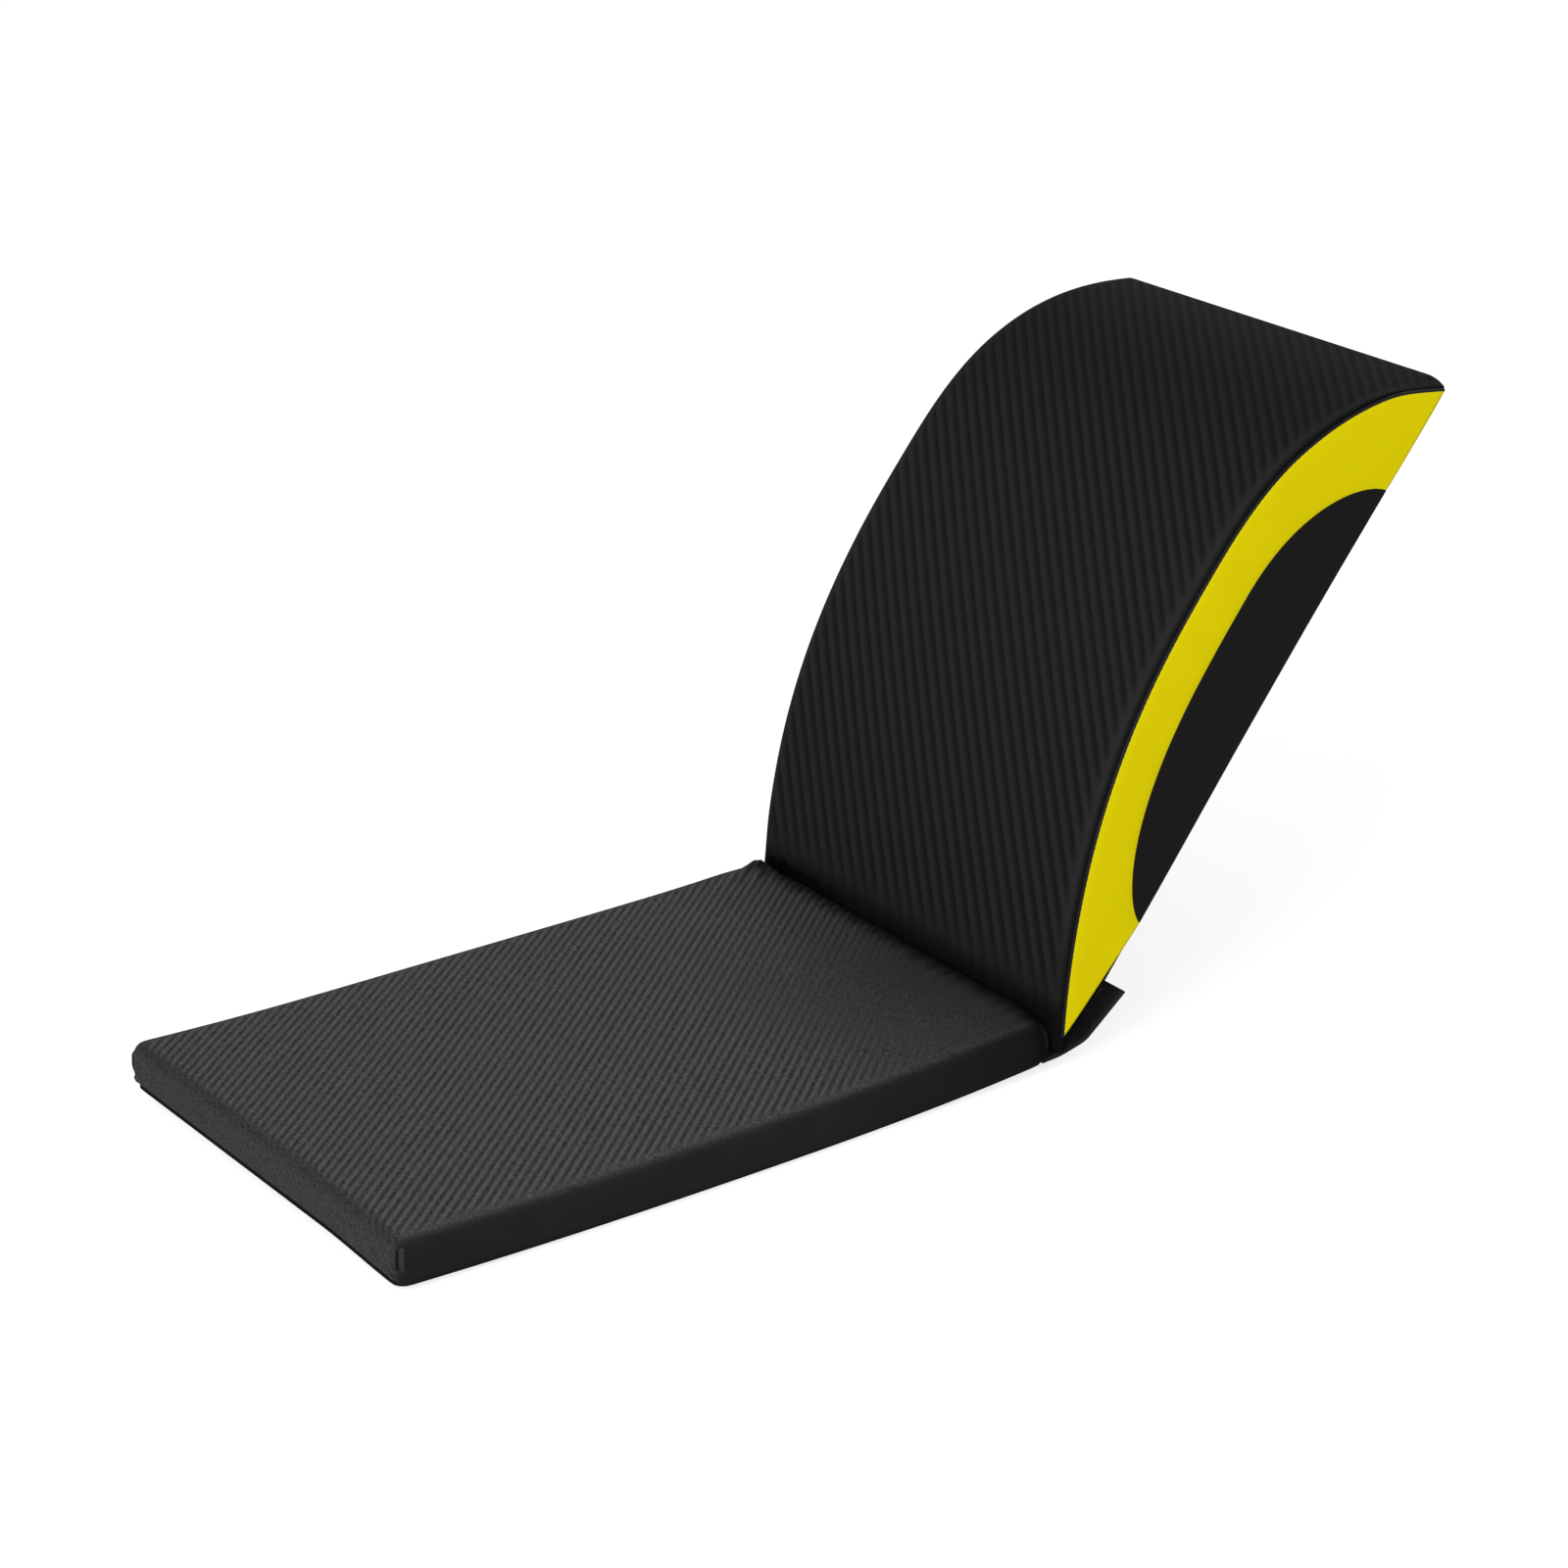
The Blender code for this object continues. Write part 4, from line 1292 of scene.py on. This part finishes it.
@cloth_material
def seam_leathercloth(tree, place, colours):
    """The slab's leathercloth turned in at a corner and sewn: dark in the crease between rolls, and
    painted darker as shade at the hinge end.
    """
    mottle = grain(tree, place, 2.5 * MM, 2.0)
    cloth = mixed(tree, times(tree, mottle, 0.5), colours.slab_side_shade, colours.slab_crest_highlight)
    base = mixed(tree, attribute(tree, "crease"), cloth, (0, 0, 0))
    return base, matt(0.7), (mottle, 0.4, 0.2 * MM)


@cloth_material
def flap_leathercloth(tree, place, colours):
    """Plain coated cloth of the flap: near black, matt, with a fine woven back."""
    weave = grain(tree, place, 0.7 * MM, 2.0)
    low, high = (np.multiply(colours.base, factor) for factor in (2.1, 4.5))
    return mixed(tree, weave, low, high), matt(0.75), (weave, 0.3, 0.2 * MM)


@cloth_material
def smooth_leathercloth(tree, place, name, tint):
    """PVC leathercloth, calendered smooth: an even colour with a faint fine grain.

    It is made once for each name.
    """
    mottle = grain(tree, place, 30 * MM, 2.0)
    base = mixed(tree, mottle, np.multiply(tint, 0.96), np.multiply(tint, 1.03))
    return base, matt(0.65), (grain(tree, place, 0.6 * MM), 0.2, 0.15 * MM)


@cloth_material
def nonslip_cloth(tree, place, colours):
    """Polyester cloth printed with rubber pimples every 2.5 mm, which grip the floor."""
    inputs = {"Vector": place, "Scale": 1 / (2.5 * MM), "Randomness": 0.15}
    distance = add(tree, "ShaderNodeTexVoronoi", inputs).outputs["Distance"]
    inputs = {0: distance, 1: 0.25, 2: 0.4, 3: 1.0, 4: 0.0}
    pimple = add(tree, "ShaderNodeMapRange", inputs).outputs[0]
    base = mixed(tree, pimple, colours.base, np.multiply(colours.base, 1.6))
    return base, matt(0.85), (pimple, 0.6, 0.3 * MM)


@cloth_material
def fastening_tape(tree, place, colours):
    """Woven nylon hook and loop tape: a dull dark pile that scatters light."""
    pile = grain(tree, place, 0.4 * MM)
    base = mixed(tree, pile, np.multiply(colours.tape, 0.6), np.multiply(colours.tape, 1.5))
    return base, {"Roughness": 0.9, "Sheen Weight": 0.1}, (pile, 0.8, 0.3 * MM)


@cloth_material
def sewing_thread(tree, place, colours):
    """Bonded polyester thread, twisted: dark, with a slight gloss along its twist."""
    twist = grain(tree, place, 0.5 * MM)
    base = mixed(tree, twist, np.multiply(colours.thread, 0.7), colours.thread)
    return base, matt(0.5, gloss=0.15)


def by_ray(tree, lighting, seen):
    """One shader for the light that things get, and another for what the camera sees directly."""
    parts = {0: seen_directly(tree), 1: lighting.outputs[0], 2: seen.outputs[0]}
    return add(tree, "ShaderNodeMixShader", parts).outputs[0]


def studio_floor():
    """Matt white studio paper. Straight to the camera it is a clean white that keeps the shadow."""
    material = bpy.data.materials.new("studio_floor")
    material.use_nodes = True
    tree = material.node_tree
    tree.nodes.clear()
    diffuse = add(tree, "ShaderNodeBsdfDiffuse", {"Color": (0.5, 0.5, 0.5, 1)})
    glow = add(tree, "ShaderNodeEmission", {"Color": (1, 1, 1, 1), "Strength": 0.72})
    both = add(tree, "ShaderNodeAddShader", {0: diffuse.outputs[0], 1: glow.outputs[0]})
    add(tree, "ShaderNodeOutputMaterial", {"Surface": by_ray(tree, diffuse, both)})
    return material


def seen_directly(tree):
    """1 for rays that show the background: camera, glossy and transmission rays."""
    rays = add(tree, "ShaderNodeLightPath").outputs
    first = maths(tree, "MAXIMUM", rays["Is Camera Ray"], rays["Is Glossy Ray"])
    return maths(tree, "MAXIMUM", first, rays["Is Transmission Ray"])


# The stage


def make_world():
    """Even light from all round, with a white background."""
    world = bpy.data.worlds.new("studio")
    bpy.context.scene.world = world
    world.use_nodes = True
    tree = world.node_tree
    tree.nodes.clear()
    soft, white = (
        add(tree, "ShaderNodeBackground", {"Color": (1, 1, 1, 1), "Strength": strength})
        for strength in (0.45, 1.0)
    )
    add(tree, "ShaderNodeOutputWorld", {"Surface": by_ray(tree, soft, white)})


def make_floor():
    """A wide floor just under the mat."""
    half = 8.0
    corners = np.array([(-half, -half), (half, -half), (half, half), (-half, half)])
    points = np.concatenate([corners, np.full((4, 1), -SEAT)], axis=1)
    mesh = make_mesh("floor", points, [[0, 1, 2, 3]])
    mesh.materials.append(studio_floor())
    floor = linked("floor", mesh)


def make_lamp(name, place, size, power):
    """A square soft box at a place, turned to the mat."""
    lamp = bpy.data.lights.new(name, "AREA")
    lamp.shape = "SQUARE"
    lamp.size = size
    lamp.energy = power
    holder = linked(name, lamp)
    holder.location = place
    aim = Vector(VIEW_TARGET) - Vector(place)
    holder.rotation_euler = aim.to_track_quat("-Z", "Y").to_euler()


def make_camera():
    """The camera that the photograph's outlines were solved for."""
    camera = bpy.data.cameras.new("camera")
    camera.sensor_width = SENSOR
    camera.lens = LENS
    holder = linked("camera", camera)
    level = math.cos(VIEW_ELEVATION)
    across, away = math.sin(VIEW_AZIMUTH) * level, -math.cos(VIEW_AZIMUTH) * level
    back = Vector((across, away, math.sin(VIEW_ELEVATION)))
    holder.location = Vector(VIEW_TARGET) + back * VIEW_DISTANCE
    holder.rotation_euler = (-back).to_track_quat("-Z", "Y").to_euler()
    bpy.context.scene.camera = holder


# Operators


class MAT_OT_slab(bpy.types.Operator):
    """Makes the padded slab, its base cloth and its corner seams"""

    bl_idname = "mat.slab"
    bl_label = "Make slab"

    def execute(self, context):
        sizes, colours = context.scene.mat_slab, context.scene.mat_colours
        make_slab_cover(sizes, colours)
        make_slab_base(sizes, colours)
        make_corner_seams(sizes, colours)
        return {"FINISHED"}


class MAT_OT_dome(bpy.types.Operator):
    """Makes the wedge's padded dome"""

    bl_idname = "mat.dome"
    bl_label = "Make dome"

    def execute(self, context):
        make_dome_cover(context.scene.mat_wedge, context.scene.mat_colours)
        return {"FINISHED"}


class MAT_OT_sides(bpy.types.Operator):
    """Makes the yellow arches, the black insets and their seams"""

    bl_idname = "mat.sides"
    bl_label = "Make sides"

    def execute(self, context):
        for word, side in (("left", -1), ("right", 1)):
            make_side(context.scene.mat_wedge, context.scene.mat_colours, word, side)
        return {"FINISHED"}


class MAT_OT_underside(bpy.types.Operator):
    """Makes the wedge's base cloth and its loop tape"""

    bl_idname = "mat.underside"
    bl_label = "Make underside"

    def execute(self, context):
        make_wedge_base(context.scene.mat_wedge, context.scene.mat_colours)
        make_loop_tape(context.scene.mat_wedge, context.scene.mat_colours)
        return {"FINISHED"}


class MAT_OT_flap(bpy.types.Operator):
    """Makes the flap that joins slab and wedge, with its hook tape"""

    bl_idname = "mat.flap"
    bl_label = "Make flap"

    def execute(self, context):
        make_flap(context.scene.mat_colours)
        return {"FINISHED"}


class MAT_OT_stage(bpy.types.Operator):
    """Makes the floor, the lights and the camera"""

    bl_idname = "mat.stage"
    bl_label = "Make stage"

    def execute(self, context):
        make_world()
        make_floor()
        make_lamp("key_light", (-2.3, -0.9, 1.5), 1.6, 46.0)
        make_lamp("front_light", (-0.6, -2.4, 1.1), 1.6, 26.0)
        make_lamp("rear_light", (1.8, 1.6, 1.6), 1.6, 6.0)
        make_camera()
        context.scene.view_settings.view_transform = "Standard"
        return {"FINISHED"}


class MAT_PT_panel(bpy.types.Panel):
    """Lists the mat's steps"""

    bl_label = "Sit-up mat"
    bl_idname = "MAT_PT_panel"
    bl_space_type = "VIEW_3D"
    bl_region_type = "UI"
    bl_category = "Mat"

    def draw(self, context):
        for step in STEPS:
            self.layout.operator(step.bl_idname)


STEPS = (MAT_OT_slab, MAT_OT_dome, MAT_OT_sides, MAT_OT_underside, MAT_OT_flap, MAT_OT_stage)
GROUPS = (
    ("mat_slab", MatSlabSizes),
    ("mat_wedge", MatWedgeSizes),
    ("mat_colours", MatColours),
)


def register():
    """Registers the groups of sizes, the steps and the panel."""
    for name, group in GROUPS:
        bpy.utils.register_class(group)
        setattr(bpy.types.Scene, name, bpy.props.PointerProperty(type=group))
    for thing in (*STEPS, MAT_PT_panel):
        bpy.utils.register_class(thing)


def unregister():
    """Takes them out again, last first."""
    for thing in (MAT_PT_panel, *reversed(STEPS)):
        bpy.utils.unregister_class(thing)
    for name, group in reversed(GROUPS):
        delattr(bpy.types.Scene, name)
        bpy.utils.unregister_class(group)


def main():
    """Registers the add-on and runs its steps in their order."""
    register()
    bpy.ops.mat.slab()
    bpy.ops.mat.dome()
    bpy.ops.mat.sides()
    bpy.ops.mat.underside()
    bpy.ops.mat.flap()
    bpy.ops.mat.stage()


if __name__ == "__main__":
    main()
